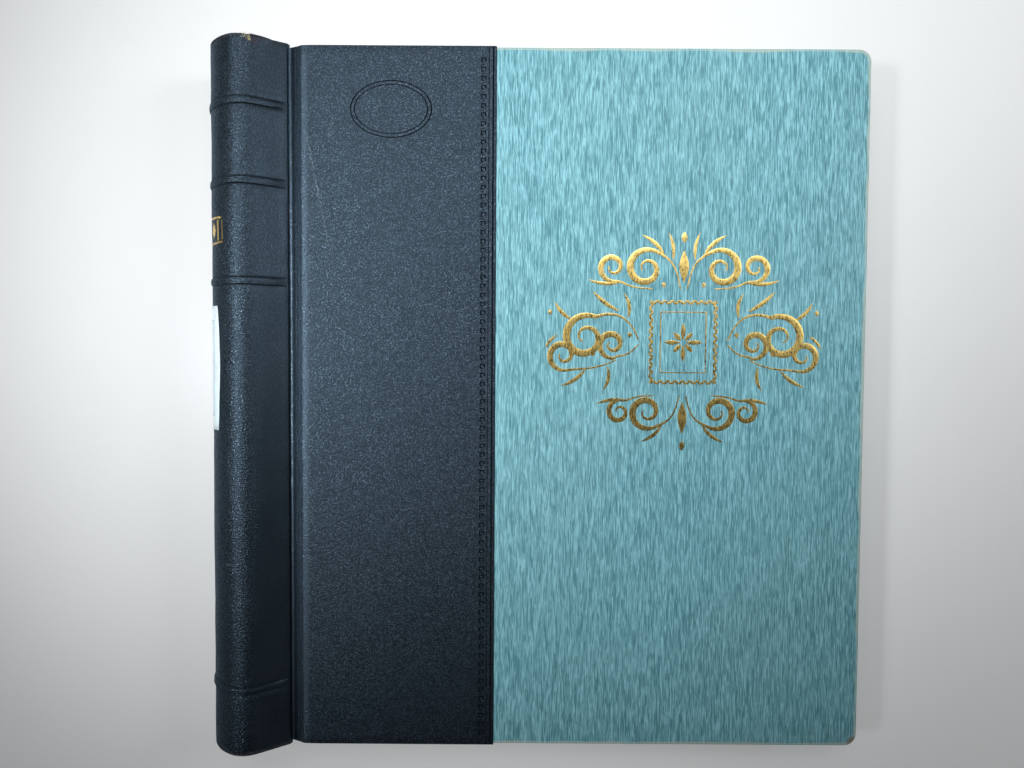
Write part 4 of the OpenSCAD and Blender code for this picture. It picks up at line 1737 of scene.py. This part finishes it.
class ALBUM_OT_stage(bpy.types.Operator):
    """Makes the floor, the lamps and the camera"""

    bl_idname = "album.stage"
    bl_label = "Stage"

    def execute(self, context):
        scene = context.scene
        scene.view_settings.view_transform = "Standard"
        floor = begin("floor", bpy.ops.mesh.primitive_plane_add, size=60, location=(0, 0, 0))
        close()
        floor.data.materials.append(pale_floor())
        scene.world = self.studio()
        for settings in LAMPS:
            self.lamp(*settings)
        clear_selection()
        bpy.ops.object.camera_add(
            location=[v * MM for v in CAMERA_PLACE], rotation=CAMERA_TURN
        )
        camera = context.object
        camera.data.sensor_width = 36
        camera.data.lens = CAMERA_LENS
        camera.data.clip_start = 0.01
        scene.camera = camera
        return {"FINISHED"}

    def studio(self):
        """A dim room, whose far side looks pale beyond the floor."""
        world = bpy.data.worlds.new("studio")
        world.use_nodes = True
        n = Nodes(world.node_tree)
        height = n.parts(n.add("ShaderNodeTexCoord").outputs["Generated"])[2]
        ray = n.add("ShaderNodeLightPath").outputs
        mirrored = n.most(ray["Is Glossy Ray"], ray["Is Transmission Ray"])
        mirrored = n.times(mirrored, n.ease(height, 0.0, 0.2, 1.0, 0.0))
        pale = n.most(ray["Is Camera Ray"], mirrored)
        shade = world.node_tree.nodes["Background"]
        room = n.mix(ray["Is Diffuse Ray"], (0.042, 0.045, 0.048), (0.13, 0.135, 0.14))
        n.feed(shade.inputs["Color"], n.mix(pale, room, (0.62, 0.645, 0.65)))
        shade.inputs["Strength"].default_value = 1.0
        return world

    def lamp(self, name, place, aim, size, power, spread):
        clear_selection()
        towards = Vector(aim) - Vector(place)
        bpy.ops.object.light_add(
            type="AREA", location=place, rotation=towards.to_track_quat("-Z", "Y").to_euler()
        )
        lamp = bpy.context.object
        lamp.name = name
        lamp.data.shape = "RECTANGLE"
        lamp.data.size, lamp.data.size_y = size
        lamp.data.energy = power
        lamp.data.spread = math.radians(spread)
        lamp.data.color = (0.93, 0.97, 1.0)


class ALBUM_PT_panel(bpy.types.Panel):
    """Lists the album's pieces in the order in which they are made"""

    bl_label = "Album"
    bl_idname = "ALBUM_PT_panel"
    bl_space_type = "VIEW_3D"
    bl_region_type = "UI"
    bl_category = "Album"

    def draw(self, context):
        for step in STEPS:
            self.layout.operator(step.bl_idname)
        for group in (context.scene.album_sizes, context.scene.album_colours):
            box = self.layout.box()
            for name in group.__annotations__:
                box.prop(group, name)


STEPS = (
    ALBUM_OT_spine_leather,
    ALBUM_OT_cover_leather,
    ALBUM_OT_cover_paper,
    ALBUM_OT_joint_leather,
    ALBUM_OT_spine_label,
    ALBUM_OT_spine_gold,
    ALBUM_OT_cap_threads,
    ALBUM_OT_cover_gold,
    ALBUM_OT_leaves,
    ALBUM_OT_leaf_hinges,
    ALBUM_OT_inner_finishes,
    ALBUM_OT_stage,
)
CLASSES = (AlbumSizes, AlbumColours, *STEPS, ALBUM_PT_panel)


def register():
    for made in CLASSES:
        bpy.utils.register_class(made)
    bpy.types.Scene.album_sizes = PointerProperty(type=AlbumSizes)
    bpy.types.Scene.album_colours = PointerProperty(type=AlbumColours)


def unregister():
    del bpy.types.Scene.album_sizes
    del bpy.types.Scene.album_colours
    for made in reversed(CLASSES):
        bpy.utils.unregister_class(made)


def main():
    register()
    for step in STEPS:
        family, name = step.bl_idname.split(".")
        getattr(getattr(bpy.ops, family), name)()


if __name__ == "__main__":
    main()
